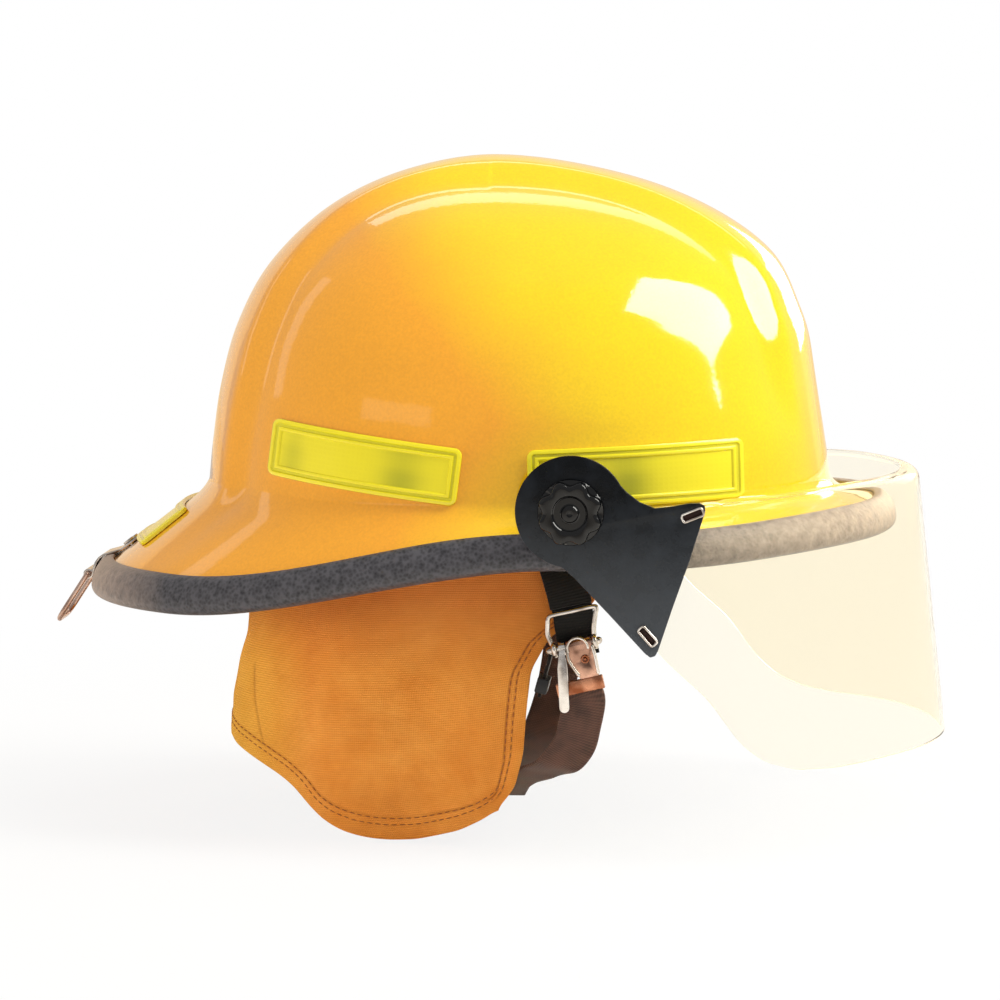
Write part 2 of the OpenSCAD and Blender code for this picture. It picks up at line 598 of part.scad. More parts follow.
// Compass angle at which the oval has its edge x in front of the head's middle
function edge_b(x, side) = let (d = x + crown_back, e = d < 0 ? cloth_rear : cloth_front)
    atan2(side*pow(1 - pow(abs(d)/e, cloth_n), 1/cloth_n), d);
function cloth_point(u, v, off) =
    let (z = mix(cloth_top, lookup(abs(mix(-right_low_b, left_low_b, u)), lower_edge), v), side = cloth_wide(z),
        b = mix(360 - edge_b(lookup(z, right_edge), side), edge_b(lookup(z, left_edge), side), u),
        fall = ease((cloth_top - 20 - z)/110), hung = ease((skirt_z - z)/8),
        fold = cloth_fold*fall*sin(360*cloth_folds*u + 60)*ease(min(u, 1 - u)/0.08),
        r = off + fold + mix(hung < 1 ? reach_at(b, cloth_off) : 0, oval_reach(b, z, side), hung))
    [r*cos(b) - crown_back, r*sin(b), z];
function cloth_wide(z) = skirt_half + 3*ease((-20 - z)/35) - 4*ease((-75 - z)/40);
module ear_neck_protector() {
    color("darkorange") slab(
        [for (v = cloth_rows) [for (j = [0:cloth_cols]) cloth_point(j/cloth_cols, v, cloth_t)]],
        [for (v = cloth_rows) [for (j = [0:cloth_cols]) cloth_point(j/cloth_cols, v, 0)]]);
}

// Snaps that hold the protector on the ring's skirt
snap_r = 3.2;
snap_t = 1.2;
module protector_snaps() {
    color("silver") for (b = [62, 100, 150, 210, 260, 298]) {
        k = [for (i = [-1:1]) reach_at(b + i, cloth_off)*[cos(b + i), sin(b + i)]];
        q = k[2] - k[0];
        translate([k[1][0] - crown_back, k[1][1], ring_z - ring_skirt/2]) rotate([0, 0, atan2(-q[0], q[1])])
            translate([cloth_t + seat_gap, 0, 0]) rotate([0, 90, 0]) cylinder(h = snap_t, r = snap_r);
    }
}

// Chin strap anchors, fixed under the ring, and the tabs that swing on them
anchor_in = 10.8;
anchor_y = crown_half - anchor_in;
anchor_t = 2.6;
anchor_r = 6;
tab_t = 1.6;
tab_y = anchor_y - 0.2 - tab_t;
strap_y = tab_y + tab_t/2;
module chin_anchor() {
    color("silver") {
        plate_y(anchor_y, anchor_y + anchor_t) translate([anchor_x, anchor_z]) {
            circle(r = anchor_r);
            translate([-anchor_r, 0]) square([2*anchor_r, ring_z - anchor_z - face_gap]);
        }
        bar_y(anchor_x, anchor_z, tab_y - 1.4, anchor_y + 1, anchor_pin_r);
        bar_y(anchor_x, anchor_z, tab_y - 1.4, tab_y - 0.2, anchor_pin_r + 1.4);
    }
}
module chin_anchor_right() { on_side(true) chin_anchor(); }
module chin_anchor_left() { on_side(false) chin_anchor(); }

// The tab ends in a clamp that the webbing's end sits in
tab_low = 16;
clamp_h = 8;
clamp_wall = 0.9;
clamp_grip = 6;
module chin_tab(lean) {
    clamp_w = webbing_w + 2*clamp_wall + 2*face_gap;
    clamp_t = webbing_t + 2*clamp_wall + face_gap;
    color("silver") translate([anchor_x, strap_y, anchor_z]) rotate([0, -lean, 0]) difference() {
        union() {
            plate_y(-tab_t/2, tab_t/2) {
                circle(r = 6.5);
                translate([-6.5, clamp_h - tab_low - 1]) square([13, tab_low - clamp_h + 1]);
            }
            translate([-clamp_w/2, -clamp_t/2, -tab_low]) cube([clamp_w, clamp_t, clamp_h]);
        }
        translate([-webbing_w/2 - face_gap, -(webbing_t + face_gap)/2, -tab_low - 1])
            cube([webbing_w + 2*face_gap, webbing_t + face_gap, clamp_grip + 1.2]);
        bar_y(0, 0, -tab_t, tab_t, anchor_pin_r + run_gap);
    }
}
right_lean = 14;
left_lean = 3;
module chin_tab_right() { on_side(true) chin_tab(right_lean); }
module chin_tab_left() { on_side(false) chin_tab(left_lean); }
// Point at distance d outwards of the anchors, on the right where side is -1
function beside(side, x, d, z) = [x, side*(anchor_y + d), z];
// Point at distance d below the tab's pivot
function below_tab(lean, y, d) = [anchor_x + d*sin(lean), y, anchor_z - d*cos(lean)];

// Buckle's own frame: its origin is the middle of the loop's top bar, X is along the bar
buckle_x = 29.2;
buckle_y = -anchor_y - 3.8;
buckle_z = -17.8;
buckle_tilt = 13;
module at_buckle() {
    translate([buckle_x, buckle_y, buckle_z]) rotate([0, -buckle_tilt, 0]) children();
}
function in_buckle(p) = [buckle_x + p[0]*cos(buckle_tilt) - p[2]*sin(buckle_tilt), buckle_y + p[1],
    buckle_z + p[0]*sin(buckle_tilt) + p[2]*cos(buckle_tilt)];

// Webbing from the right tab down to the loop's top bar
module chin_strap_upper() {
    p = [below_tab(right_lean, -strap_y, tab_low - clamp_grip), below_tab(right_lean, -strap_y, tab_low),
        below_tab(right_lean, -strap_y, tab_low + 6), beside(-1, 23.6, -0.4, 2), beside(-1, 25.8, 1.7, -5),
        in_buckle([0, 0.8, 7]),
        in_buckle([0, 0, loop_wire_r + webbing_t/2 + seat_gap])];
    steps = 18;
    color([0.1, 0.09, 0.08])
        band([for (i = [0:steps]) along(p, (len(p) - 1)*i/steps)], webbing_w, webbing_t, [1, 0, 0]);
}

// Webbing from the buckle's lower bar, under the chin and up to the left tab
bar_u = -3.5;
bar_w = 30.6;
bar_h = 5.5;
bar_t = 3.6;
bar_grip = 3.5;
bar_l = webbing_w + 2*clamp_wall + 2*face_gap;
module chin_strap_lower() {
    p = [in_buckle([bar_u, -1, bar_grip - bar_w - bar_h/2]), in_buckle([bar_u, -1, -bar_w - bar_h/2]),
        in_buckle([bar_u, -1, -bar_w - bar_h/2 - 4]), beside(-1, 32.5, 4.8, -64), beside(-1, 30, 3.3, -73),
        beside(-1, 23.5, -0.7, -81), beside(-1, 14.5, -8.7, -87), beside(-1, 5.5, -18.2, -92.5),
        beside(-1, 0, -32.2, -99), [-3, -45, -107], [-4, -20, -109.5], [-4, 8, -110], [-3, 35, -108],
        beside(1, 0, -42.2, -103), beside(1, 4, -22.2, -94), beside(1, 9, -8.2, -78),
        beside(1, 12.5, -2.2, -55), beside(1, 14.5, 0.3, -28), [16, strap_y, -4],
        below_tab(left_lean, strap_y, tab_low + 6), below_tab(left_lean, strap_y, tab_low),
        below_tab(left_lean, strap_y, tab_low - clamp_grip)];
    steps = 63;
    color([0.2, 0.14, 0.12])
        band([for (i = [0:steps]) along(p, (len(p) - 1)*i/steps)], webbing_w, webbing_t, [1, 0, 0]);
}

// Free tail of the webbing behind the loop, with its slide
tail_w = 11;
tail_y = 2.7;
tail_from = [-11.4, tail_y, -13];
tail_to = [-21.5, tail_y, -32];
tail_t = 1.4;
tail_l = norm(tail_from - tail_to);
tail_lean = atan2(tail_from[0] - tail_to[0], tail_from[2] - tail_to[2]);
module at_tail() {
    at_buckle() translate(tail_to) rotate([0, tail_lean, 0]) children();
}
module chin_strap_tail() {
    color([0.1, 0.09, 0.08]) at_tail() translate([-tail_t/2, 0, 0]) cube([tail_t, tail_w, tail_l]);
}
slide_h = 6;
slide_t = 5;
slide_wall = 1.6;
module strap_slide() {
    c = 0.2;
    color("black") at_tail() difference() {
        translate([-slide_t/2, -slide_wall - c, 2]) cube([slide_t, tail_w + 2*slide_wall + 2*c, slide_h]);
        translate([-tail_t/2 - c, -c, 1]) cube([tail_t + 2*c, tail_w + 2*c, slide_h + 2]);
    }
}

// Buckle: wire loop, hinge pin, plate with its rolled hinge, lower bar and finger lever
loop_w = 20;
loop_l = 14;
pin_r = 1.2;
eye_r = 2.4;
module buckle_loop() {
    color("silver") at_buckle() {
        rotate([0, 90, 0]) cylinder(h = loop_w, r = loop_wire_r, center = true);
        for (s = [-1, 1]) translate([s*loop_w/2, 0, 0]) {
            sphere(r = loop_wire_r);
            translate([0, 0, eye_r - loop_wire_r/2 - loop_l])
                cylinder(h = loop_l + loop_wire_r/2 - eye_r, r = loop_wire_r);
            translate([-loop_wire_r, 0, -loop_l]) rotate([0, 90, 0]) difference() {
                cylinder(h = 2*loop_wire_r, r = eye_r);
                translate([0, 0, -1]) cylinder(h = 2*loop_wire_r + 2, r = pin_r + run_gap);
            }
        }
    }
}
module buckle_pin() {
    color("silver") at_buckle() translate([0, 0, -loop_l]) rotate([0, 90, 0]) {
        cylinder(h = loop_w + 3, r = pin_r, center = true);
        for (s = [-1, 1]) translate([0, 0, s*(loop_w/2 + 2)]) cylinder(h = 1, r = pin_r + 0.8, center = true);
    }
}
curl_r = 2.8;
plate_t = 1.4;
plate_u0 = -5.5;
plate_u1 = 5;
plate_neck_u = -2.5;
plate_l = bar_w - bar_h/2 - face_gap - loop_l;
module buckle_plate() {
    color("silver") at_buckle() difference() {
        union() {
            translate([plate_u0, 0, -loop_l]) rotate([0, 90, 0]) cylinder(h = plate_u1 - plate_u0, r = curl_r);
            translate([0, -curl_r, -loop_l]) rotate([-90, 0, 0]) linear_extrude(plate_t)
                polygon([[plate_u0, 0], [plate_u1, 0], [plate_u1, plate_l], [plate_neck_u, plate_l],
                    [plate_u0, plate_l - 6]]);
        }
        translate([plate_u0 - 1, 0, -loop_l]) rotate([0, 90, 0])
            cylinder(h = plate_u1 - plate_u0 + 2, r = pin_r + run_gap);
        translate([1, -curl_r - 1, -20]) rotate([-90, 0, 0]) cylinder(h = plate_t + 2, r = 0.9);
    }
}
module buckle_bar() {
    color([0.78, 0.45, 0.3]) at_buckle() translate([bar_u, -1, -bar_w - bar_h/2]) difference() {
        translate([-bar_l/2, -bar_t/2, 0]) cube([bar_l, bar_t, bar_h]);
        translate([-webbing_w/2 - face_gap, -(webbing_t + face_gap)/2, -1])
            cube([webbing_w + 2*face_gap, webbing_t + face_gap, bar_grip + 1.2]);
    }
}
lever_u = -7.4;
lever_w = 4;
lever_t = 1.4;
lever_lean = 10;
lever_y = -bar_t/2 - 1 - lever_t - 0.4;
module buckle_lever() {
    color("silver") at_buckle() translate([lever_u, 0, -loop_l]) difference() {
        union() {
            translate([-1.2, 0, 0]) rotate([0, 90, 0]) cylinder(h = 2.6, r = curl_r);
            translate([-1.1, lever_y + 0.2, 0.3 - curl_r]) cube([2.4, -lever_y - 0.4, curl_r - 0.7]);
            rotate([0, lever_lean, 0]) translate([0, lever_y, 0])
                rotate([-90, 0, 0]) linear_extrude(lever_t)
                    polygon(concat([[-1, 0.8], [1.1, 0.8], [lever_w/2, 8]],
                        [for (i = [0:12]) [0, lever_l - lever_w/2] + lever_w/2*[cos(15*i), sin(15*i)]],
                        [[-lever_w/2, 8]]));
        }
        translate([-3, 0, 0]) rotate([0, 90, 0]) cylinder(h = 6, r = pin_r + run_gap);
    }
}

// Hanging ring's tab on the rear brim, over the trim and rolled round the ring's straight bar
function rear_up(s) = let (n = skin_normal(180, s)) [n[0], n[2]];
function rear_at(s, h) = let (p = skin(180, s), n = rear_up(s)) [p[0] + h*n[0], p[2] + h*n[1]];
roll_r = hang_wire_r + run_gap + hang_tab_t;
roll_s = 0.015;
hang_at = rear_at(roll_s, trim_wall + seat_gap + roll_r);
function tab_line(h) = [rear_at(0.365, h), rear_at(0.265, h), rear_at(0.215, h + 0.42*trim_wall),
    rear_at(0.18, h + 0.75*trim_wall), rear_at(0.15, h + 0.92*trim_wall), rear_at(0.12, h + trim_wall),
    rear_at(0.09, h + trim_wall), rear_at(roll_s, h + trim_wall)];
module hanger_tab() {
    over = tab_line(seat_gap + hang_tab_t);
    color("silver") difference() {
        union() {
            plate_y(-hang_tab_w/2, hang_tab_w/2)
                polygon(concat(tab_line(seat_gap), [for (i = [len(over) - 1:-1:0]) over[i]]));
            bar_y(hang_at[0], hang_at[1], -hang_tab_w/2, hang_tab_w/2, roll_r);
        }
        bar_y(hang_at[0], hang_at[1], -hang_tab_w, hang_tab_w, hang_wire_r + run_gap);
        for (y = [-rivet_y, rivet_y]) at_rivet(y) cylinder(h = 4*shell_t, r = rivet_r + 0.1, center = true);
    }
}
rivet_s = 0.315;
module at_rivet(y) {
    p = rear_at(rivet_s, 0);
    n = rear_up(rivet_s);
    translate([p[0], y, p[1]]) rotate([0, atan2(n[0], n[1]), 0]) children();
}
module hanger_rivets() {
    top = seat_gap + hang_tab_t + face_gap;
    low = -shell_t - face_gap - 0.5;
    color("silver") for (y = [-rivet_y, rivet_y]) at_rivet(y) {
        translate([0, 0, low - 1]) cylinder(h = top - low + 1.5, r = rivet_r);
        translate([0, 0, top]) cylinder(h = 1.2, r = rivet_head_r);
        translate([0, 0, low - 1]) cylinder(h = 1, r = rivet_head_r);
    }
}
hang_lean = 33;
hang_corner = 6;
module hanger_ring() {
    reach = hang_l - hang_corner;
    half = hang_w/2 + hang_wire_r;
    color("silver") translate([hang_at[0], 0, hang_at[1]]) rotate([0, hang_lean, 0]) {
        rotate([90, 0, 0]) cylinder(h = 2*half, r = hang_wire_r, center = true);
        for (s = [-1, 1]) {
            translate([0, s*half, 0]) sphere(r = hang_wire_r);
            translate([0, s*half, -reach]) cylinder(h = reach, r = hang_wire_r);
            translate([0, s*(half - hang_corner), -reach]) rotate([0, 90, 0]) rotate([0, 0, s > 0 ? 0 : -90])
                rotate_extrude(angle = 90) translate([hang_corner, 0]) circle(r = hang_wire_r);
        }
        translate([0, 0, -reach - hang_corner]) rotate([90, 0, 0])
            cylinder(h = 2*(half - hang_corner), r = hang_wire_r, center = true);
    }
}

// Face shield: a cone bent to lie flat inside the brackets at its sides
shield_half = brim_half + shield_side;
shield_r = shield_half + shield_bow;
shield_mid_x = brim_front + shield_ahead - shield_r;
bracket_y = shield_half + 0.4;
shield_flare = 0.109;
side_flare = 0.12;
bracket_low_z = pivot_z - 57.1;
// Distance of the shield's rear ends in front of the pivot, and angles from those ends
shield_end = 26.65;
shield_end_a = acos((pivot_x + shield_end - shield_mid_x)/shield_r);
function from_end(a) = shield_end_a - abs(a);
shield_low = [[0, 57], [3.3, 46], [6.3, 39], [10.3, 30], [15.3, 12], [19.3, 4], [24.3, 0], [31.3, -1], [46.3, 0]];
function shield_bottom(a) = shield_low_z + lookup(from_end(a), shield_low);
function shield_top(a) = shield_top_z - 3*ease((46.3 - from_end(a))/33) - 6*ease((11.3 - from_end(a))/6);
function soft_min(a, b, k) = let (h = min(1, max(0, 0.5 + 0.5*(b - a)/k))) b + (a - b)*h - k*h*(1 - h);
function shield_point(a, z, off) =
    let (r = shield_r + (shield_top_z - z)*shield_flare - off,
        half = shield_half - off + max(0, bracket_low_z - z)*side_flare)
    [shield_mid_x + r*cos(a), sign(a)*soft_min(half, r*abs(sin(a)), 6), z];
// Distance inwards and downwards of the rolled lip's points from the top edge
lip_r = 4.5;
function lip_share(a) = mix(0.05, 1, ease((from_end(a) - 12.3)/4));
function shield_row(a, i, off) =
    let (k = lip_share(a), top = shield_top(a), r = lip_r*k, w = lip_w*k, in = min(off, shield_t))
    i == 0 ? shield_point(a, top - in, w)
    : i < 5 ? let (b = 90 - 30*(i - 1)) shield_point(a, top - r + (r - in)*sin(b), r - (r - in)*cos(b))
    : shield_point(a, mix(top - r, shield_bottom(a), (i - 4)/6), in);
shield_cols = 40;
module face_shield() {
    function face(off) = [for (i = [0:10]) [for (j = [0:shield_cols])
        shield_row(mix(shield_end_a, -shield_end_a, j/shield_cols), i, off)]];
    color([0.95, 0.92, 0.8, 0.5]) slab(face(0), face(shield_t));
}

// Brackets: a round head at the pivot and a blade in front of it, with two slots. Places on them
// are given from the pivot.
clip_top = [48.6, -0.9];
clip_low = [30.8, -49.7];
clip_top_lean = 22;
clip_low_lean = -48;
slot_l = 9;
slot_h = 3.4;
module slot(l, h) {
    hull() for (s = [-1, 1]) translate([s*(l - h)/2, 0]) circle(r = h/2, $fn = 32);
}
module at_clips() {
    translate([pivot_x, pivot_z] + clip_top) rotate(clip_top_lean) children();
    translate([pivot_x, pivot_z] + clip_low) rotate(clip_low_lean) children();
}
module bracket() {
    in = bracket_r - 3;
    color([0.13, 0.14, 0.16]) difference() {
        plate_y(bracket_y, bracket_y + bracket_t) translate([pivot_x, pivot_z]) {
            circle(r = bracket_r);
            polygon([in*[cos(222), sin(222)], [1.5, -26.7], [15.6, -41.5], [29.7, -56.7], [31.8, -58.3],
                [33.8, -57.7], [35, -55.5], [40.4, -39.2], [47.5, -19], [53.6, 0.5], [53.4, 2.9],
                [51.2, 3.9], [47.4, 3.8], [39.2, 2.3], [33.5, 1.7], [27.5, 4.1], [22.3, 8], [17.2, 13.5],
                in*[cos(50), sin(50)]]);
        }
        plate_y(bracket_y - 1, bracket_y + bracket_t + 1) at_clips() square([slot_l, slot_h], center = true);
        bar_y(pivot_x, pivot_z, bracket_y - 1, bracket_y + bracket_t + 1, bolt_r + run_gap);
    }
}
module bracket_right() { on_side(true) bracket(); }
module bracket_left() { on_side(false) bracket(); }

// Bright clips in the bracket's slots, which hold the shield
clip_wall = 1;
clip_proud = 0.9;
module bracket_clips() {
    color("silver") plate_y(bracket_y - 0.2, bracket_y + bracket_t + clip_proud) at_clips() difference() {
        square([slot_l - 0.1, slot_h - 0.1], center = true);
        square([slot_l - 2*clip_wall, slot_h - 2*clip_wall], center = true);
    }
}
module bracket_clips_right() { on_side(true) bracket_clips(); }
module bracket_clips_left() { on_side(false) bracket_clips(); }

// Pivot, from the inside out: nut, bolt, spacer, washer, bracket and knob
washer_t = 1;
washer_r = 11;
spacer_r = 8;
nut_r = 6.5;
nut_t = 2;
wall_y = abs(skin(skin_a(1, pivot_x, 1, 179, 14), 1)[1]);
nut_out = wall_y - shell_t - 1.6;
washer_y = bracket_y - 0.15 - washer_t;
knob_y = bracket_y + bracket_t + 0.2;
module pivot_bolt() {
    color("silver") bar_y(pivot_x, pivot_z, nut_out - nut_t - 0.1, knob_y + knob_d - 3, bolt_r);
}
module pivot_bolt_right() { on_side(true) pivot_bolt(); }
module pivot_bolt_left() { on_side(false) pivot_bolt(); }
module pivot_nut() {
    color("silver") difference() {
        translate([pivot_x, nut_out, pivot_z]) rotate([90, 0, 0]) linear_extrude(nut_t)
            circle(r = nut_r, $fn = 6);
        bar_y(pivot_x, pivot_z, nut_out - nut_t - 1, nut_out + 1, bolt_r + 0.02);
    }
}
module pivot_nut_right() { on_side(true) pivot_nut(); }
module pivot_nut_left() { on_side(false) pivot_nut(); }

// Solid under the shell's skin round the pivot, for the spacer's inner end
module skin_patch() {
    half = spacer_r + 2;
    steps = 5;
    at = [for (i = [0:steps]) [for (j = [0:steps])
        skin_at(pivot_x + half*(2*j/steps - 1), pivot_z + half*(1 - 2*i/steps))]];
    slab([for (r = at) [for (q = r) lifted(q[0], q[1], seat_gap)]],
        [for (r = at) [for (q = r) lifted(q[0], q[1], -8)]]);
}
module pivot_spacer() {
    color([0.13, 0.14, 0.16]) difference() {
        bar_y(pivot_x, pivot_z, wall_y - 2, washer_y - 0.1, spacer_r);
        skin_patch();
        bar_y(pivot_x, pivot_z, wall_y - 4, washer_y + 1, bolt_r + 0.02);
    }
}
module pivot_spacer_right() { on_side(true) pivot_spacer(); }
module pivot_spacer_left() { on_side(false) pivot_spacer(); }
module pivot_washer() {
    color("dimgray") difference() {
        bar_y(pivot_x, pivot_z, washer_y, washer_y + washer_t, washer_r);
        bar_y(pivot_x, pivot_z, washer_y - 1, washer_y + washer_t + 1, bolt_r + 0.02);
    }
}
module pivot_washer_right() { on_side(true) pivot_washer(); }
module pivot_washer_left() { on_side(false) pivot_washer(); }

knob_lobes = 8;
knob_notch_r = 3;
knob_ring_r = 7;
module pivot_knob() {
    color([0.05, 0.05, 0.06]) difference() {
        bar_y(pivot_x, pivot_z, knob_y, knob_y + knob_d, knob_r);
        for (i = [0:knob_lobes - 1])
            bar_y(pivot_x + (knob_r + 1.2)*cos(360*i/knob_lobes),
                pivot_z + (knob_r + 1.2)*sin(360*i/knob_lobes),
                knob_y + 2.4, knob_y + knob_d + 1, knob_notch_r);
        difference() {
            bar_y(pivot_x, pivot_z, knob_y + knob_d - 1.6, knob_y + knob_d + 1, knob_ring_r);
            bar_y(pivot_x, pivot_z, knob_y + knob_d - 2, knob_y + knob_d + 2, knob_ring_r/2);
        }
        bar_y(pivot_x, pivot_z, knob_y - 1, knob_y + knob_d - 2.8, bolt_r + run_gap);
    }
}
module pivot_knob_right() { on_side(true) pivot_knob(); }
module pivot_knob_left() { on_side(false) pivot_knob(); }

// Reflectors on the crown's sides, by the middle, length and lean of each, and one on the rear brim
rear_mid = [-56.5, 41.8];
rear_lean = -7;
front_mid = [54.3, 37.4];
front_lean = 2;
module side_reflector(mid, l, h, lean) {
    cols = 12;
    rows = 3;
    places = [for (i = [0:rows]) [for (j = [0:cols])
        let (p = l*(j/cols - 0.5), q = h*(0.5 - i/rows))
        skin_at(mid[0] + p*cos(lean) - q*sin(lean), mid[1] + p*sin(lean) + q*cos(lean))]];
    color("yellow") slab([for (r = places) [for (q = r) lifted(q[0], q[1], seat_gap + reflector_t)]],
        [for (r = places) [for (q = r) lifted(q[0], q[1], seat_gap)]]);
}
module front_reflector() {
    color("yellow") difference() {
        side_reflector(front_mid, reflector_front_l, reflector_front_h, front_lean);
        bar_y(pivot_x, pivot_z, wall_y - 10, wall_y + 20, spacer_r + seat_gap);
    }
}
module rear_reflector() { side_reflector(rear_mid, reflector_rear_l, reflector_rear_h, rear_lean); }
module reflector_left_front() { on_side(false) front_reflector(); }
module reflector_left_rear() { on_side(false) rear_reflector(); }
module reflector_right_front() { on_side(true) front_reflector(); }
module reflector_right_rear() { on_side(true) rear_reflector(); }
rear_strip_a = 18;
rear_strip_s0 = 0.375;
rear_strip_s1 = 0.67;
module reflector_rear() {
    cols = 12;
    rows = 3;
    function place(i, j, h) =
        lifted(180 + rear_strip_a*(1 - 2*j/cols), mix(rear_strip_s1, rear_strip_s0, i/rows), h);
    color("yellow") slab([for (i = [0:rows]) [for (j = [0:cols]) place(i, j, seat_gap + reflector_t)]],
        [for (i = [0:rows]) [for (j = [0:cols]) place(i, j, seat_gap)]]);
}

outer_shell();
edge_trim();
impact_liner();
suspension_ring();
crown_strap_lengthwise();
crown_strap_right_front();
crown_strap_left_front();
crown_strap_keys();
crown_pad();
headband();
headband_hangers();
brow_pad();
nape_pad();
ratchet_housing();
ratchet_cover();
ratchet_knob();
ratchet_pinion();
ear_neck_protector();
protector_snaps();
chin_anchor_right();
chin_anchor_left();
chin_tab_right();
chin_tab_left();
chin_strap_upper();
chin_strap_lower();
chin_strap_tail();
strap_slide();
buckle_loop();
buckle_pin();
buckle_plate();
buckle_bar();
buckle_lever();
hanger_tab();
hanger_rivets();
hanger_ring();
face_shield();
bracket_right();
bracket_left();
bracket_clips_right();
bracket_clips_left();
pivot_bolt_right();
pivot_bolt_left();
pivot_nut_right();
pivot_nut_left();
pivot_spacer_right();
pivot_spacer_left();
pivot_washer_right();
pivot_washer_left();
pivot_knob_right();
pivot_knob_left();
reflector_right_front();
reflector_right_rear();
reflector_left_front();
reflector_left_rear();
reflector_rear();
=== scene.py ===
import bpy, bmesh, json, math
import numpy as np
from mathutils import Matrix, Vector


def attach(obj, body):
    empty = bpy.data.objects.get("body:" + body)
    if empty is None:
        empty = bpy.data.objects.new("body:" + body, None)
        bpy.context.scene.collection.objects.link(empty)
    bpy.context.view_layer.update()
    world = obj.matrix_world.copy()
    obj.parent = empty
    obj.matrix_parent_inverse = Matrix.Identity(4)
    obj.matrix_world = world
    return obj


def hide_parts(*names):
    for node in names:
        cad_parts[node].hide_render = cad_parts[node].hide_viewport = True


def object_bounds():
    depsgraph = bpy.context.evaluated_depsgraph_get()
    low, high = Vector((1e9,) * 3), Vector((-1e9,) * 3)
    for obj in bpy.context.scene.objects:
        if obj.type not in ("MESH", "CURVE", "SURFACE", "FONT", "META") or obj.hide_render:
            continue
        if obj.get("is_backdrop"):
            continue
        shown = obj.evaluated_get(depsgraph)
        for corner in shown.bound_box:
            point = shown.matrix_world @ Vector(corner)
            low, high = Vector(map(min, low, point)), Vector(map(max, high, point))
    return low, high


# Fire helmet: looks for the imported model. Sizes are in millimetres here and become metres in each mesh.
# +X is the front, +Z is up and -Y is the wearer's right, which the camera sees.

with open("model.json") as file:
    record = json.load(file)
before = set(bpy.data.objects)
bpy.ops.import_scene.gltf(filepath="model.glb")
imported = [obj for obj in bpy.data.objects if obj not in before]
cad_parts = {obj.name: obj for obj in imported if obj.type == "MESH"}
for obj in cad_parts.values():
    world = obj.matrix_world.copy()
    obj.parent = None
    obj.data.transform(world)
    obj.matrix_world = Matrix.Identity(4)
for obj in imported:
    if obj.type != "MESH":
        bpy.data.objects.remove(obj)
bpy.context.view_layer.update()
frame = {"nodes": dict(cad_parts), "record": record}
record = frame["record"]
bodyOf = {n: b for b, nodes in record["behaviour"]["bodies"].items() for n in nodes}
mm = 0.001
print("frame loaded:", len(frame["nodes"]), "nodes")


def newObject(name, data):
    made = bpy.data.objects.new(name, data)
    bpy.context.scene.collection.objects.link(made)
    return made


# camera
cameraView = {"azimuth": 4.5, "elevation": 5.5, "distance": 2.0, "lens": 167.442,
    "target": (-0.00863, 0.0, 0.01722)}


def makeCamera(view):
    az, el = math.radians(view["azimuth"]), math.radians(view["elevation"])
    back = Vector((math.sin(az)*math.cos(el), -math.cos(az)*math.cos(el), math.sin(el)))
    data = bpy.data.cameras.new("photoCamera")
    data.sensor_width, data.lens = 36, view["lens"]
    data.clip_start, data.clip_end = 0.1, 30
    camera = newObject("photoCamera", data)
    camera.location = Vector(view["target"]) + view["distance"]*back
    camera.rotation_euler = back.to_track_quat("Z", "Y").to_euler()
    bpy.context.scene.camera = camera


makeCamera(cameraView)


# small tools
def ease(t):
    s = np.clip(t, 0, 1)
    return s*s*(3 - 2*s)


def mix(a, b, t):
    return a + (b - a)*t


def trig(a):
    return np.cos(np.radians(a)), np.sin(np.radians(a))


def signedPower(v, e):
    return np.sign(v)*np.abs(v)**e


def unitOf(v):
    return v/np.maximum(np.linalg.norm(v, axis=-1, keepdims=True), 1e-12)


def softMin(a, b, k):
    h = np.clip(0.5 + 0.5*(b - a)/k, 0, 1)
    return b + (a - b)*h - k*h*(1 - h)


def around(count):
    return np.arange(count)*360/count


def tableValue(table, x, soft):  # straight lines between rows of a table, with corners eased over soft
    p = np.array(table, float)
    return sum(np.interp(x + soft*d, p[:, 0], p[:, 1]) for d in (-1, -0.5, 0, 0.5, 1))/5


def splinePoint(points, t, last=None):  # Catmull-Rom through the points
    p = np.asarray(points, float)
    after = 2*p[-1] - p[-2] if last is None else np.asarray(last, float)
    ext = np.vstack([2*p[0] - p[1], p, after])
    t = np.asarray(t, float)
    i = np.clip(np.floor(t).astype(int), 0, len(p) - 2)
    f = (t - i)[..., None]
    a, b, c, d = ext[i], ext[i + 1], ext[i + 2], ext[i + 3]
    return 0.5*(2*b + (c - a)*f + (2*a - 5*b + 4*c - d)*f*f + (3*b - a - 3*c + d)*f**3)


def bandPath(points, steps):
    return splinePoint(points, np.linspace(0, len(points) - 1, steps + 1))


def gridFaces(rows, cols, loop=False, flip=False):  # quads of a grid of points, rows by cols
    i, j = np.meshgrid(np.arange(rows - 1), np.arange(cols if loop else cols - 1), indexing="ij")
    k = (j + 1) % cols
    quads = np.stack([i*cols + j, i*cols + k, (i + 1)*cols + k, (i + 1)*cols + j], -1).reshape(-1, 4)
    return quads[:, ::-1] if flip else quads


def makeMesh(name, verts, faces, uv=None, edges=()):
    mesh = bpy.data.meshes.new(name)
    points = (np.asarray(verts, float)*mm).tolist()
    mesh.from_pydata(points, edges, [tuple(int(k) for k in f) for f in faces])
    if uv is not None:
        layer = mesh.uv_layers.new(name="fit")
        index = np.zeros(len(mesh.loops), int)
        mesh.loops.foreach_get("vertex_index", index)
        layer.data.foreach_set("uv", (np.asarray(uv, float)*mm)[index].ravel())
    mesh.update()
    return newObject(name, mesh)


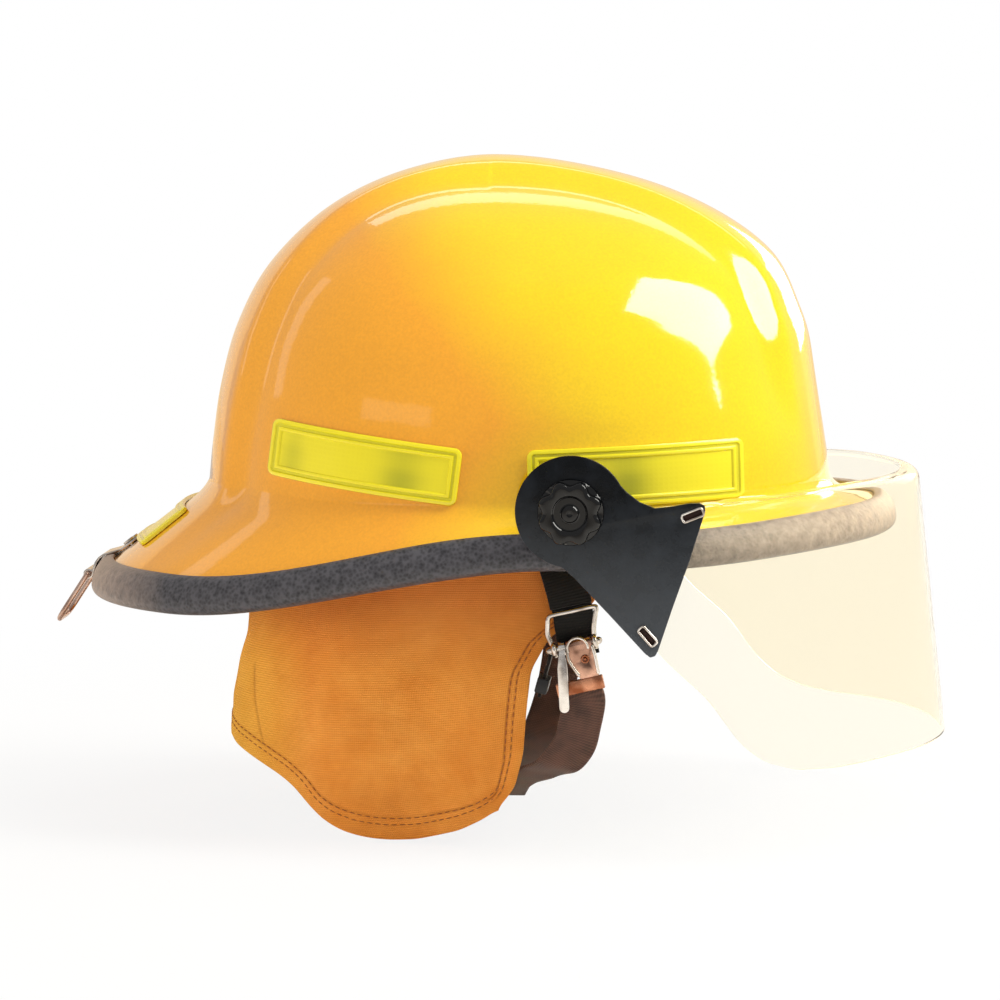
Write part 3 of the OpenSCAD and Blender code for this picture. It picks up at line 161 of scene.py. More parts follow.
def tidyMesh(piece, merge=0.0):  # merge points closer than merge metres and turn the faces outwards
    bm = bmesh.new()
    bm.from_mesh(piece.data)
    if merge:
        bmesh.ops.remove_doubles(bm, verts=bm.verts, dist=merge)
    bmesh.ops.recalc_face_normals(bm, faces=bm.faces)
    bm.to_mesh(piece.data)
    bm.free()
    return piece


def poleSkin(name, rows, poles):  # rings of points with a pole at each end
    m, n = rows.shape[:2]
    faces = gridFaces(m, n, loop=True).tolist()
    faces += [[m*n, (j + 1) % n, j] for j in range(n)]
    faces += [[m*n + 1, (m - 1)*n + j, (m - 1)*n + (j + 1) % n] for j in range(n)]
    return tidyMesh(makeMesh(name, np.concatenate([rows.reshape(-1, 3), poles]), faces))


def slabSkin(name, outer, inner, merge=1e-6, uv=None):  # two faces on one grid, joined round their rim
    m, n = outer.shape[:2]
    rim = [*range(n - 1), *[i*n + n - 1 for i in range(m - 1)]]
    rim += [*[(m - 1)*n + j for j in range(n - 1, 0, -1)], *[i*n for i in range(m - 1, 0, -1)]]
    faces = gridFaces(m, n).tolist() + (gridFaces(m, n, flip=True) + m*n).tolist()
    faces += [[a, m*n + a, m*n + b, b] for a, b in zip(rim, rim[1:] + rim[:1])]
    verts = np.concatenate([outer.reshape(-1, 3), inner.reshape(-1, 3)])
    return tidyMesh(makeMesh(name, verts, faces, uv), merge)


def applyModifiers(piece):
    graph = bpy.context.evaluated_depsgraph_get()
    graph.update()
    final = piece.evaluated_get(graph)
    mesh = bpy.data.meshes.new_from_object(final, preserve_all_data_layers=True, depsgraph=graph)
    piece.modifiers.clear()
    piece.data = mesh


def roundEdges(piece, width, segments, angle):
    edge = piece.modifiers.new("edges", "BEVEL")
    edge.width, edge.segments = width*mm, segments
    edge.limit_method, edge.angle_limit = "ANGLE", math.radians(angle)
    applyModifiers(piece)


def markPoints(piece, name, values):
    mark = piece.data.attributes.new(name, "FLOAT", "POINT")
    mark.data.foreach_set("value", np.asarray(values).astype(np.float32))


def dressing(piece, finish, node, angle=None):  # a detail piece beside a node's own piece
    piece.data.materials.clear()
    piece.data.materials.append(finish)
    piece.data.polygons.foreach_set("use_smooth", [True]*len(piece.data.polygons))
    if angle:
        piece.data.set_sharp_from_angle(angle=math.radians(angle))
    piece.data.update()
    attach(piece, bodyOf[node])
    return piece


def placePiece(piece, finish, node, angle):  # the piece that stands for a node
    dressing(piece, finish, node, angle)
    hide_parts(node)
    return piece


# materials
def linear(colour):  # from an sRGB hex value; a plain number is a grey
    if not isinstance(colour, str):
        return (colour, colour, colour, 1.0)
    parts = [int(colour[i:i + 2], 16)/255 for i in (1, 3, 5)]
    return tuple(v/12.92 if v <= 0.04045 else ((v + 0.055)/1.055)**2.4 for v in parts) + (1.0,)


def setInputs(node, inputs):
    for key, value in inputs.items():
        socket = node.inputs[key]
        if isinstance(value, bpy.types.NodeSocket):
            node.id_data.links.new(value, socket)
        else:
            socket.default_value = linear(value) if isinstance(value, str) else value


def addNode(tree, kind, inputs=None, out=0, stops=(), **settings):  # gives the output named or numbered out
    node = tree.nodes.new(kind if "Node" in kind else "ShaderNode" + kind)
    for key, value in settings.items():
        setattr(node, key, value)
    if stops:
        for element, (position, colour) in zip(node.color_ramp.elements, stops):
            element.position, element.color = position, linear(colour)
    setInputs(node, inputs or {})
    return node.outputs[out] if node.outputs else node


def newFinish(name, *places):
    finish = bpy.data.materials.new(name)
    finish.use_nodes = True
    found = addNode(finish.node_tree, "TexCoord").node.outputs
    return finish, finish.node_tree, *(found[place] for place in places)


def setShader(finish, inputs):
    setInputs(finish.node_tree.nodes["Principled BSDF"], inputs)
    return finish


waveUnit = 314.16  # a wave texture of this scale has bands 1 mm apart
colours = {"data_type": "RGBA"}
product = {"data_type": "RGBA", "blend_type": "MULTIPLY"}


def makeShellFinish():
    # glass-fibre shell in glossy gel coat: an even colour under a clear layer, with faint orange peel;
    # painted shade turns it more orange towards the rear and away from the height of the brightest painted
    # light
    look = {"light": "#FFDC08", "deep": "#FFB226", "lit": 0.06, "shade": -0.03, "paintedLightZ": 0.058, "fall": 0.8,
        "peelMm": 2.2, "cloudMm": 60}
    finish, tree, at = newFinish("glossYellowGelCoat", "Object")
    spread = addNode(tree, "SeparateXYZ", {0: at}).node.outputs
    level = addNode(tree, "Math", {0: spread["Z"], 1: look["paintedLightZ"]}, operation="SUBTRACT")
    apart = addNode(tree, "Math", {0: level}, operation="ABSOLUTE")
    reach = addNode(tree, "Math", {0: apart, 1: look["fall"], 2: spread["X"]}, operation="MULTIPLY_ADD")
    # painted shade: the shade side is painted in as a turn towards the deeper orange colour
    rear = addNode(tree, "MapRange", {"Value": reach, "From Min": look["lit"], "From Max": look["shade"]},
        interpolation_type="SMOOTHSTEP")
    cloud = addNode(tree, "TexNoise", {"Vector": at, "Scale": 1000/look["cloudMm"], "Detail": 3})
    share = addNode(tree, "Math", {0: cloud, 1: 0.5, 2: rear}, operation="MULTIPLY_ADD")
    colour = addNode(tree, "ValToRGB", {0: share}, stops=[(0.25, look["light"]), (1.15, look["deep"])])
    fleck = addNode(tree, "TexNoise", {"Vector": at, "Scale": 900, "Detail": 2})
    speck = addNode(tree, "ValToRGB", {0: fleck}, stops=[(0.3, "#F4F2F0"), (0.7, "#FFFFFF")])
    rub = addNode(tree, "TexNoise", {"Vector": at, "Scale": 45, "Detail": 5})
    peel = addNode(tree, "TexNoise", {"Vector": at, "Scale": 1000/look["peelMm"], "Detail": 1})
    soft = addNode(tree, "Bump", {"Strength": 0.05, "Distance": 0.0004, "Height": peel})
    wide = addNode(tree, "TexNoise", {"Vector": at, "Scale": 28, "Detail": 1})
    return setShader(finish, {"IOR": 1.5, "Specular IOR Level": 0.4, "Coat Weight": 1.0,
        "Coat Roughness": 0.03, "Coat IOR": 1.5, "Normal": soft,
        "Base Color": addNode(tree, "Mix", {0: 1.0, 6: colour, 7: speck}, 2, **product),
        "Roughness": addNode(tree, "ValToRGB", {0: rub}, stops=[(0.3, 0.07), (0.75, 0.13)]),
        "Coat Normal": addNode(tree, "Bump", {"Strength": 0.05, "Distance": 0.001, "Height": wide,
            "Normal": soft})})


def makeTrimFinish():
    # EPDM edge trim: moulded with a fine leather grain, semi-matt, lighter brown at the rear tip, with a
    # painted highlight ahead
    look = {"dark": "#25252A", "light": "#54545B", "rearBrown": "#B4A297", "front": "#C9B8AE", "grainMm": 1.5,
        "rearBrownX": (-0.14, -0.185), "paintedHighlightX": (0.02, 0.15)}
    finish, tree, at = newFinish("leatherGrainRubber", "Object")
    cells = addNode(tree, "TexVoronoi", {"Vector": at, "Scale": 1000/look["grainMm"], "Smoothness": 0.4},
        feature="SMOOTH_F1")
    noise = addNode(tree, "TexNoise", {"Vector": at, "Scale": 260, "Detail": 4, "Roughness": 0.65})
    grain = addNode(tree, "Math", {0: cells, 1: 0.6, 2: noise}, operation="MULTIPLY_ADD")
    colour = addNode(tree, "ValToRGB", {0: grain}, stops=[(0.45, look["dark"]), (1.0, look["light"])])
    x = addNode(tree, "SeparateXYZ", {0: at}, "X")
    # the rear blend is a lighter brown tone; the front blend is a painted highlight
    for key, (start, end), most in (("rearBrown", look["rearBrownX"], 1.7), ("front", look["paintedHighlightX"], 1.3)):
        reach = addNode(tree, "MapRange", {"Value": x, "From Min": start, "From Max": end, "To Max": most})
        patch = addNode(tree, "Math", {0: reach, 1: noise}, operation="MULTIPLY")
        colour = addNode(tree, "Mix", {0: patch, 6: colour, 7: look[key]}, 2, **colours)
    return setShader(finish, {"IOR": 1.5, "Specular IOR Level": 0.45, "Base Color": colour,
        "Roughness": addNode(tree, "ValToRGB", {0: noise}, stops=[(0.3, 0.34), (0.7, 0.55)]),
        "Normal": addNode(tree, "Bump", {"Strength": 0.6, "Distance": 0.0005, "Height": grain})})


def makePlasticFinish(name, dark, light, rough, grainMm=0.9, relief=0.12, gloss=0.5, paintedSheen=None):
    # moulded nylon or ABS: fine spark-eroded grain, a little lighter where it is rubbed; the last colour,
    # if given, is a painted sheen that sets in downwards
    finish, tree, at = newFinish(name, "Object")
    cloud = addNode(tree, "TexNoise", {"Vector": at, "Scale": 120, "Detail": 5, "Roughness": 0.6})
    fine = addNode(tree, "TexNoise", {"Vector": at, "Scale": 1000/grainMm, "Detail": 2})
    colour = addNode(tree, "ValToRGB", {0: cloud}, stops=[(0.35, dark), (0.7, light)])
    # painted sheen: lighter towards the bottom
    if paintedSheen:
        z = addNode(tree, "SeparateXYZ", {0: at}, "Z")
        low = addNode(tree, "MapRange", {"Value": z, "From Min": 0.035, "From Max": -0.035})
        patch = addNode(tree, "Math", {0: cloud, 1: 0.3, 2: low}, operation="MULTIPLY_ADD")
        share = addNode(tree, "MapRange", {"Value": patch, "From Min": 0.15, "From Max": 1.2})
        colour = addNode(tree, "Mix", {0: share, 6: colour, 7: paintedSheen}, 2, **colours)
    least = max(rough - 0.08, 0.03)
    return setShader(finish, {"IOR": 1.5, "Specular IOR Level": gloss, "Base Color": colour,
        "Roughness": addNode(tree, "ValToRGB", {0: cloud}, stops=[(0.3, least), (0.75, rough + 0.08)]),
        "Normal": addNode(tree, "Bump", {"Strength": relief, "Distance": 0.0003, "Height": fine})})


def makeMetalFinish(name, light, dark, rough, relief):
    # plated sheet metal and wire: bright, with brushed streaks along X and dull spots from handling
    finish, tree, at = newFinish(name, "Object")
    brushMm = 2.0
    turned = addNode(tree, "Mapping", {"Vector": at, "Scale": (1, 4, 4)})
    streak = addNode(tree, "TexNoise", {"Vector": turned, "Scale": 1000/brushMm, "Detail": 2})
    cloud = addNode(tree, "TexNoise", {"Vector": at, "Scale": 130, "Detail": 2})
    both = addNode(tree, "Math", {0: streak, 1: cloud}, operation="MULTIPLY")
    return setShader(finish, {"Metallic": 1.0,
        "Base Color": addNode(tree, "ValToRGB", {0: cloud}, stops=[(0.35, dark), (0.6, light)]),
        "Roughness": addNode(tree, "ValToRGB", {0: both}, stops=[(0.15, rough), (0.45, rough + 0.2)]),
        "Normal": addNode(tree, "Bump", {"Strength": relief, "Distance": 0.0002, "Height": streak})})


def makeShieldFinish():
    # moulded polycarbonate visor: clear with a faint warm tint and a hard coat
    finish, tree, at = newFinish("clearPolycarbonate", "Object")
    haze = addNode(tree, "TexNoise", {"Vector": at, "Scale": 60, "Detail": 4})
    return setShader(finish, {"Base Color": "#FFFAEC", "Transmission Weight": 0.97, "IOR": 1.035,
        "Roughness": addNode(tree, "ValToRGB", {0: haze}, stops=[(0.4, 0.02), (0.75, 0.05)])})


def makeClothFinish():
    # flame-resistant cotton duck: a plain weave whose weft shows as fine level lines, with soft blotches of
    # fading;
    # painted light makes it lighter at the rear and painted shadow darker under the brim; the weave is drawn
    # about twice as coarse as it is
    look = {"light": "#FFB054", "deep": "#F0983E", "seam": "#8E3F1C", "weaveMm": 0.95,
        "rearPaintedLight": "#FFD052", "rearPaintedLightX": (-0.08, -0.125), "underBrimPaintedShadow": "#D8803E", "underBrimPaintedShadowZ": (-0.045, -0.012)}
    finish, tree, at, uv = newFinish("orangeCottonDuck", "Object", "UV")
    weft, warp = (addNode(tree, "TexWave", {"Vector": uv, "Scale": waveUnit/look["weaveMm"],
        "Distortion": 0.6, "Detail": 2, "Detail Scale": 1.5}, "Fac", bands_direction=way) for way in "YX")
    thread = addNode(tree, "Math", {0: warp, 1: 0.55, 2: weft}, operation="MULTIPLY_ADD")
    blotch = addNode(tree, "TexNoise", {"Vector": at, "Scale": 38, "Detail": 6, "Roughness": 0.62})
    slub = addNode(tree, "TexNoise", {"Vector": uv, "Scale": 60, "Detail": 3})
    colour = addNode(tree, "ValToRGB", {0: blotch}, stops=[(0.3, look["deep"]), (0.7, look["light"])])
    spread = addNode(tree, "SeparateXYZ", {0: at}).node.outputs
    # painted light towards the rear and painted shadow under the brim
    for key, way in (("rearPaintedLight", "X"), ("underBrimPaintedShadow", "Z")):
        start, end = look[key + way]
        reach = addNode(tree, "MapRange", {"Value": spread[way], "From Min": start, "From Max": end,
            "To Max": 0.8})
        colour = addNode(tree, "Mix", {0: reach, 6: colour, 7: look[key]}, 2, **colours)
    lines = addNode(tree, "ValToRGB", {0: thread}, stops=[(0.2, "#E8DFD6"), (1.0, "#FFFFFF")])
    woven = addNode(tree, "Mix", {0: 0.7, 6: colour, 7: lines}, 2, **product)
    knots = addNode(tree, "ValToRGB", {0: slub}, stops=[(0.35, "#E6D8CC"), (0.65, "#FFFFFF")])
    slubbed = addNode(tree, "Mix", {0: 0.35, 6: woven, 7: knots}, 2, **product)
    seam = addNode(tree, "Attribute", out="Fac", attribute_name="seam")
    weave = addNode(tree, "Bump", {"Strength": 0.5, "Distance": 0.0003, "Height": thread})
    return setShader(finish, {"IOR": 1.45, "Specular IOR Level": 0.15, "Sheen Weight": 0.25,
        "Sheen Roughness": 0.5, "Sheen Tint": "#FFC890",
        "Base Color": addNode(tree, "Mix", {0: seam, 6: slubbed, 7: look["seam"]}, 2, **colours),
        "Roughness": addNode(tree, "ValToRGB", {0: blotch}, stops=[(0.3, 0.8), (0.7, 0.92)]),
        "Normal": addNode(tree, "Bump", {"Strength": 0.35, "Distance": 0.002, "Height": blotch,
            "Normal": weave})})


def makeWebbingFinish(name, dark, light, ribMm):
    # woven nylon webbing: ribs across the band and a diagonal twill of fine threads between them
    finish, tree, at, uv = newFinish(name, "Object", "UV")
    ribs, twill = (addNode(tree, "TexWave", {"Vector": uv, "Scale": waveUnit/pitch, "Distortion": bent,
        "Detail": 1}, "Fac", bands_direction=way)
        for way, pitch, bent in (("Y", ribMm, 0.4), ("DIAGONAL", 0.7*ribMm, 0.3)))
    weave = addNode(tree, "Math", {0: twill, 1: 0.5, 2: ribs}, operation="MULTIPLY_ADD")
    wear = addNode(tree, "TexNoise", {"Vector": at, "Scale": 140, "Detail": 4})
    both = addNode(tree, "Math", {0: weave, 1: 0.3, 2: wear}, operation="MULTIPLY_ADD")
    return setShader(finish, {"IOR": 1.5, "Specular IOR Level": 0.3, "Sheen Weight": 0.2,
        "Sheen Roughness": 0.4,
        "Base Color": addNode(tree, "ValToRGB", {0: both}, stops=[(0.4, dark), (1.0, light)]),
        "Roughness": addNode(tree, "ValToRGB", {0: wear}, stops=[(0.3, 0.62), (0.7, 0.8)]),
        "Normal": addNode(tree, "Bump", {"Strength": 0.3, "Distance": 0.0004, "Height": weave})})


def makeReflectorFinish():
    # fluorescent lime sheeting under a clear moulded lens: prism cells; painted shade turns it a dull
    # yellow-green in patches and in the groove, where it would send no light back
    look = {"bright": "#FBEF20", "paintedShadeOlive": "#8F9A16", "cellMm": 2.0}
    finish, tree, uv = newFinish("limePrismSheeting", "UV")
    cells = addNode(tree, "TexVoronoi", {"Vector": uv, "Scale": 1000/look["cellMm"], "Randomness": 0.0},
        distance="CHEBYCHEV")
    panel, paintedShadeOlive = (addNode(tree, "Attribute", out="Fac", attribute_name=k) for k in ("panel", "paintedShadeOlive"))
    tone = addNode(tree, "Mix", {0: paintedShadeOlive, 6: look["bright"], 7: look["paintedShadeOlive"]}, 2, **colours)
    facet = addNode(tree, "ValToRGB", {0: cells}, stops=[(0.1, "#FAFAF2"), (0.6, "#FFFFFF")])
    depth = addNode(tree, "Math", {0: cells, 1: panel}, operation="MULTIPLY")
    return setShader(finish, {"Roughness": 0.25, "IOR": 1.49, "Coat Weight": 0.6, "Coat Roughness": 0.05,
        "Base Color": addNode(tree, "Mix", {0: 0.5, 6: tone, 7: facet}, 2, **product),
        "Normal": addNode(tree, "Bump", {"Strength": 0.12, "Distance": 0.0004, "Height": depth})})


def makeFoamFinish(name, light, dark, beadMm):
    # moulded closed-cell foam or brushed pad cloth: small soft cells, no gloss
    finish, tree, at = newFinish(name, "Object")
    beads = addNode(tree, "TexVoronoi", {"Vector": at, "Scale": 1000/beadMm, "Smoothness": 0.3},
        feature="SMOOTH_F1")
    cloud = addNode(tree, "TexNoise", {"Vector": at, "Scale": 50, "Detail": 4})
    return setShader(finish, {"IOR": 1.45, "Specular IOR Level": 0.15, "Sheen Weight": 0.1,
        "Base Color": addNode(tree, "ValToRGB", {0: cloud}, stops=[(0.35, dark), (0.65, light)]),
        "Roughness": addNode(tree, "ValToRGB", {0: cloud}, stops=[(0.3, 0.8), (0.7, 0.95)]),
        "Normal": addNode(tree, "Bump", {"Strength": 0.4, "Distance": 0.0005, "Height": beads})})


shellYellow = makeShellFinish()
trimRubber = makeTrimFinish()
linerFoam = makeFoamFinish("greyBeadFoam", "#B9B9B4", "#A4A49E", 3.0)
padCloth = makeFoamFinish("brushedPadCloth", "#3C3C40", "#2A2A2E", 0.9)
suspensionNylon = makePlasticFinish("blackNylon", "#0E0E10", "#1C1C1F", 0.42)
# the last colour is a painted sheen, lighter low on the blade
bracketNylon = makePlasticFinish("charcoalGlassNylon", "#04070B", "#0E141C", 0.3, 1.2, 0.2, 0.22, "#4C525A")
knobNylon = makePlasticFinish("glossBlackAcetal", "#010102", "#040405", 0.07, 1.5, 0.02)
# a dark sheet standing in for the shade inside the brackets' slots
slotShadeFill = makePlasticFinish("paintedSlotShade", "#1E0D0A", "#3A1C16", 0.5, 0.6, 0.2, 0.3)
rustThread = makePlasticFinish("rustPolyesterThread", "#8E4A22", "#A85A2A", 0.6, 0.6, 0.3)
nickelSteel = makeMetalFinish("nickelPlatedSteel", "#F2ECE6", "#B4A89E", 0.1, 0.02)
copperSteel = makeMetalFinish("copperTonedPlating", "#DB9A78", "#8E5236", 0.2, 0.06)
plateSteel = makeMetalFinish("wornCopperPlating", "#E0B098", "#6A4A3C", 0.16, 0.04)
ringSteel = makeMetalFinish("tarnishedNickelWire", "#E0C2B2", "#C4A08E", 0.2, 0.0)
shieldClear = makeShieldFinish()
protectorDuck = makeClothFinish()
upperWebbing = makeWebbingFinish("blackNylonWebbing", "#080706", "#1A1714", 1.2)
lowerWebbing = makeWebbingFinish("brownNylonWebbing", "#40302A", "#6A4C42", 1.0)
crownWebbing = makeWebbingFinish("blackCrownWebbing", "#0F0F10", "#2C2C2E", 1.8)
limeSheeting = makeReflectorFinish()
print("finishes made")

# shape of the helmet, from the part's source
crown = {"front": 144, "rear": 116, "half": 113, "high": 159.6, "back": 11, "endZ": 29, "sideZ": 25.5,
    "wall": 2.6, "square": 2.2,
    "frontShape": [[100, 0], [97.5, 16], [91.7, 36], [87, 53], [78.5, 71], [59, 85.5], [32.5, 95.3],
        [0, 100]],
    "sideShape": [[100, 0], [98.6, 17], [95, 33], [88.5, 50.5], [76, 67.5], [55, 84], [29, 94.7], [0, 100]],
    "rearShape": [[100, 0], [98.3, 13], [95.3, 30], [89.2, 49], [77.6, 67.5], [57, 84.5], [31, 95.3],
        [0, 100]]}
comb = {"high": 6, "topHalf": 29, "rearHalf": 67, "frontHalf": 55, "slope": 13, "midX": -5, "midZ": 55,
    "fullZ": 62, "frontZ": 42, "frontRise": 50}
brim = {"front": 155, "rear": 178, "half": 127, "sideZ": 13, "frontZ": 19.5, "rearZ": -10.5, "turn": 7,
    "square": 2.25, "creaseRun": 2, "creaseDrop": 5, "fillet": 8, "knee": 3, "turnOut": 2}
shapeEnd = 7.0  # a crown profile runs from 0 at its foot to this at the top
seatGap = 0.3


def crownProfile(shape, reach, foot, t, off):
    k = np.array([reach/100, (crown["high"] - foot)/100])
    e = 0.02
    last = [-shape[-2][0], shape[-2][1]]
    p, a, b = (splinePoint(shape, q, last) for q in (t, np.maximum(t - e, 0), np.minimum(t + e, shapeEnd)))
    d = unitOf((b - a)*k)
    side = np.stack([p[..., 0]*k[0] - off*d[..., 1], foot + p[..., 1]*k[1] + off*d[..., 0]], -1)
    top = np.stack([0*t, crown["high"] - off + 0*t], -1)
    return np.where((t > shapeEnd - e)[..., None], top, side)


def crownPoint(a, t, off=0.0):
    a, t = np.broadcast_arrays(np.asarray(a, float), np.asarray(t, float))
    ca, sa = trig(a)
    c, s, w = signedPower(ca, 2/crown["square"]), signedPower(sa, 2/crown["square"]), ca*ca
    front = crownProfile(crown["frontShape"], crown["front"], crown["endZ"], t, off)
    rear = crownProfile(crown["rearShape"], crown["rear"], crown["endZ"], t, off)
    e = np.where((c >= 0)[..., None], front, rear)
    m = crownProfile(crown["sideShape"], crown["half"], crown["sideZ"], t, off)
    return np.stack([e[..., 0]*c - crown["back"], m[..., 0]*s, e[..., 1]*w + m[..., 1]*(1 - w)], -1)


def crownFoot(a, off, level):  # where the crown, set in by off, reaches a level, by halving
    low, high = np.zeros(len(a)), np.full(len(a), shapeEnd)
    for _ in range(22):
        middle = (low + high)/2
        above = crownPoint(a, middle, off)[..., 2] > level
        high, low = np.where(above, middle, high), np.where(above, low, middle)
    return (low + high)/2


def withComb(p):
    behind = p[..., 0] < -crown["back"]
    k = np.clip((crown["high"] - p[..., 2])/(crown["high"] - comb["fullZ"]), 0, 1)
    half = mix(comb["topHalf"], np.where(behind, comb["rearHalf"], comb["frontHalf"]), 1 - (1 - k)**2)
    lift = comb["high"]*(1 - ease((np.abs(p[..., 1]) - half + comb["slope"])/comb["slope"]))
    lift = lift*np.where(behind, 1, ease((p[..., 2] - comb["frontZ"])/comb["frontRise"]))
    way = np.stack([p[..., 0] - comb["midX"], 0*p[..., 0], p[..., 2] - comb["midZ"]], -1)
    return p + lift[..., None]*unitOf(way)


def brimHeight(x):
    behind = mix(brim["sideZ"], brim["rearZ"], ease((20 - x)/160))
    return np.where(x < 20, behind, mix(brim["sideZ"], brim["frontZ"], ease((x - 60)/100)))


def brimEdge(a):
    ca, sa = trig(np.asarray(a, float))
    x = signedPower(ca, 2/brim["square"])*np.where(ca >= 0, brim["front"], brim["rear"])
    return np.stack([x, brim["half"]*signedPower(sa, 2/brim["square"]), brimHeight(x)], -1)


def brimOut(a):
    return unitOf((brimEdge(a) - crownPoint(a, 0*np.asarray(a, float)))*np.array([1, 1, 0]))


def rimPoint(a):
    return brimEdge(a) + brim["turnOut"]*brimOut(a) - np.array([0, 0, brim["turn"]])


def bendPoint(a, b, c, t):
    t = t[..., None]
    return (1 - t)**2*a + 2*t*(1 - t)*b + t*t*c


def brimPoint(a, u):  # from the crown's foot at 0 over the crease and the knee to the rim at 1
    a, u = np.broadcast_arrays(np.asarray(a, float), np.asarray(u, float))
    foot, edge, out, rim = withComb(crownPoint(a, 0*a)), brimEdge(a), brimOut(a), rimPoint(a)
    crease = foot + brim["creaseRun"]*out - np.array([0, 0, brim["creaseDrop"]])
    d = unitOf(edge - crease)
    start, end = crease + brim["fillet"]*d, edge - brim["knee"]*d
    low = edge + brim["knee"]*unitOf(rim - edge)
    point = np.where((u >= 0.3)[..., None], mix(start, end, ((u - 0.3)/0.5)[..., None]),
        bendPoint(foot, crease, start, u/0.3))
    point = np.where((u >= 0.8)[..., None], bendPoint(end, edge, low, (u - 0.8)/0.1), point)
    return np.where((u >= 0.9)[..., None], mix(low, rim, ((u - 0.9)/0.1)[..., None]), point)


def skinPoint(a, s):  # plan angle a; s runs from 0 at the rim over 1 at the crown's foot to 2 at the top
    a, s = np.broadcast_arrays(np.asarray(a, float), np.asarray(s, float))
    high = withComb(crownPoint(a, np.clip((s - 1)*shapeEnd, 0, shapeEnd)))
    return np.where((s <= 1)[..., None], brimPoint(a, np.clip(1 - s, 0, 1)), high)


def skinNormal(a, s):
    e = 0.01
    a, s = np.broadcast_arrays(np.asarray(a, float), np.asarray(s, float))
    across = skinPoint(a + 1, s) - skinPoint(a - 1, s)
    up = skinPoint(a, np.minimum(1.999, s + e)) - skinPoint(a, np.maximum(0, s - e))
    return unitOf(np.cross(across, up))


def liftedPoint(a, s, h):
    return skinPoint(a, s) + np.asarray(h, float)[..., None]*skinNormal(a, s)


def skinPlace(x, z):  # a and s at x and z on the +Y side: Newton's steps from a coarse grid's best point
    gridA, gridS = np.meshgrid(np.linspace(20, 160, 71), np.linspace(0.6, 1.5, 46))
    grid = skinPoint(gridA, gridS).reshape(-1, 3)
    near = [np.argmin((grid[:, 0] - px)**2 + (grid[:, 2] - pz)**2) for px, pz in zip(x, z)]
    a, s = gridA.ravel()[near], gridS.ravel()[near]
    for _ in range(8):
        p = skinPoint(a, s)
        da, ds = (skinPoint(a + 0.02, s) - p)/0.02, (skinPoint(a, s + 0.0005) - p)/0.0005
        ex, ez = x - p[..., 0], z - p[..., 2]
        det = da[..., 0]*ds[..., 2] - da[..., 2]*ds[..., 0]
        a = a + np.clip((ex*ds[..., 2] - ez*ds[..., 0])/det, -2, 2)
        s = s + np.clip((ez*da[..., 0] - ex*da[..., 2])/det, -0.04, 0.04)
    return a, s


# shell, trim and liner
shellLook = {"around": 320, "crownRows": 92, "innerRows": 44, "topRows": [1.992, 1.98, 1.965],
    "brimRows": [0.97, 0.93, 0.89, 0.85, 0.81, 0.77, 0.73, 0.69, 0.62, 0.52, 0.4, 0.3, 0.22, 0.19, 0.17, 0.15,
        0.13, 0.11, 0.09, 0.05, 0.0],
    "underRows": [0.0, 0.05, 0.1, 0.13, 0.16, 0.19, 0.3, 0.45, 0.6, 0.7, 0.76, 0.82, 0.88, 0.94, 1.0]}


def makeShell(look):
    crownRows = np.linspace(1.945, 1.0, look["crownRows"])
    outer = np.concatenate([look["topRows"], crownRows, look["brimRows"]])
    inner = np.concatenate([look["underRows"], np.linspace(1.04, 1.95, look["innerRows"])])
    top = skinPoint(*np.meshgrid(around(look["around"]), outer))
    a, s = np.meshgrid(around(look["around"]), inner)
    under = liftedPoint(a, s, np.full(a.shape, -crown["wall"]))
    peak = withComb(np.array([[-crown["back"], 0, crown["high"]]], float))[0]
    piece = poleSkin("shellGelCoat", np.concatenate([top, under]), [peak, peak - [0, 0, crown["wall"]]])
    placePiece(piece, shellYellow, "outer_shell", 50)


makeShell(shellLook)

trimLook = {"around": 360, "wall": 4, "place": 0.22, "inner": 4, "fine": 4}


def makeTrim(look):
    a = around(look["around"])
    one = np.ones_like(a)
    w, b, c, lip = look["wall"], -crown["wall"] - seatGap, seatGap, look["inner"]
    rim, down, out = rimPoint(a), unitOf(rimPoint(a) - brimEdge(a)), skinNormal(a, 0.01*one)
    legs = [(1, w), (w, 0.55*w), (w + 1, b/2), (w, b - 0.5*w), (1, b - 0.85*w), (1 - lip, b - 0.85*w),
        (-lip, b - 0.5*w), (-lip, b), (c, b), (c, c)]
    over = [(look["place"], c), (look["place"], 0.4*w), (0.17, 0.8*w), (0.1, w)]
    section = [liftedPoint(a, s*one, h*one) for s, h in over]
    section += [rim + d*down + h*out for d, h in legs]
    section += [liftedPoint(a, s*one, c*one) for s in (0.1, 0.16)]
    smooth, hollow = np.stack(section[:11]), np.stack(section[11:])
    outside = splinePoint(smooth.reshape(11, -1), np.linspace(0, 10, 10*look["fine"] + 1))
    rows = np.concatenate([outside.reshape(-1, *smooth.shape[1:]), hollow]).transpose(1, 0, 2)
    m, k = rows.shape[:2]
    faces = gridFaces(m + 1, k, loop=True) % (m*k)
    placePiece(tidyMesh(makeMesh("edgeTrimRubber", rows.reshape(-1, 3), faces)), trimRubber, "edge_trim", 60)


makeTrim(trimLook)

linerLook = {"thick": 12, "gap": 1.3, "low": 52, "around": 160, "rows": 30, "groove": 1.6, "grooves": 8}


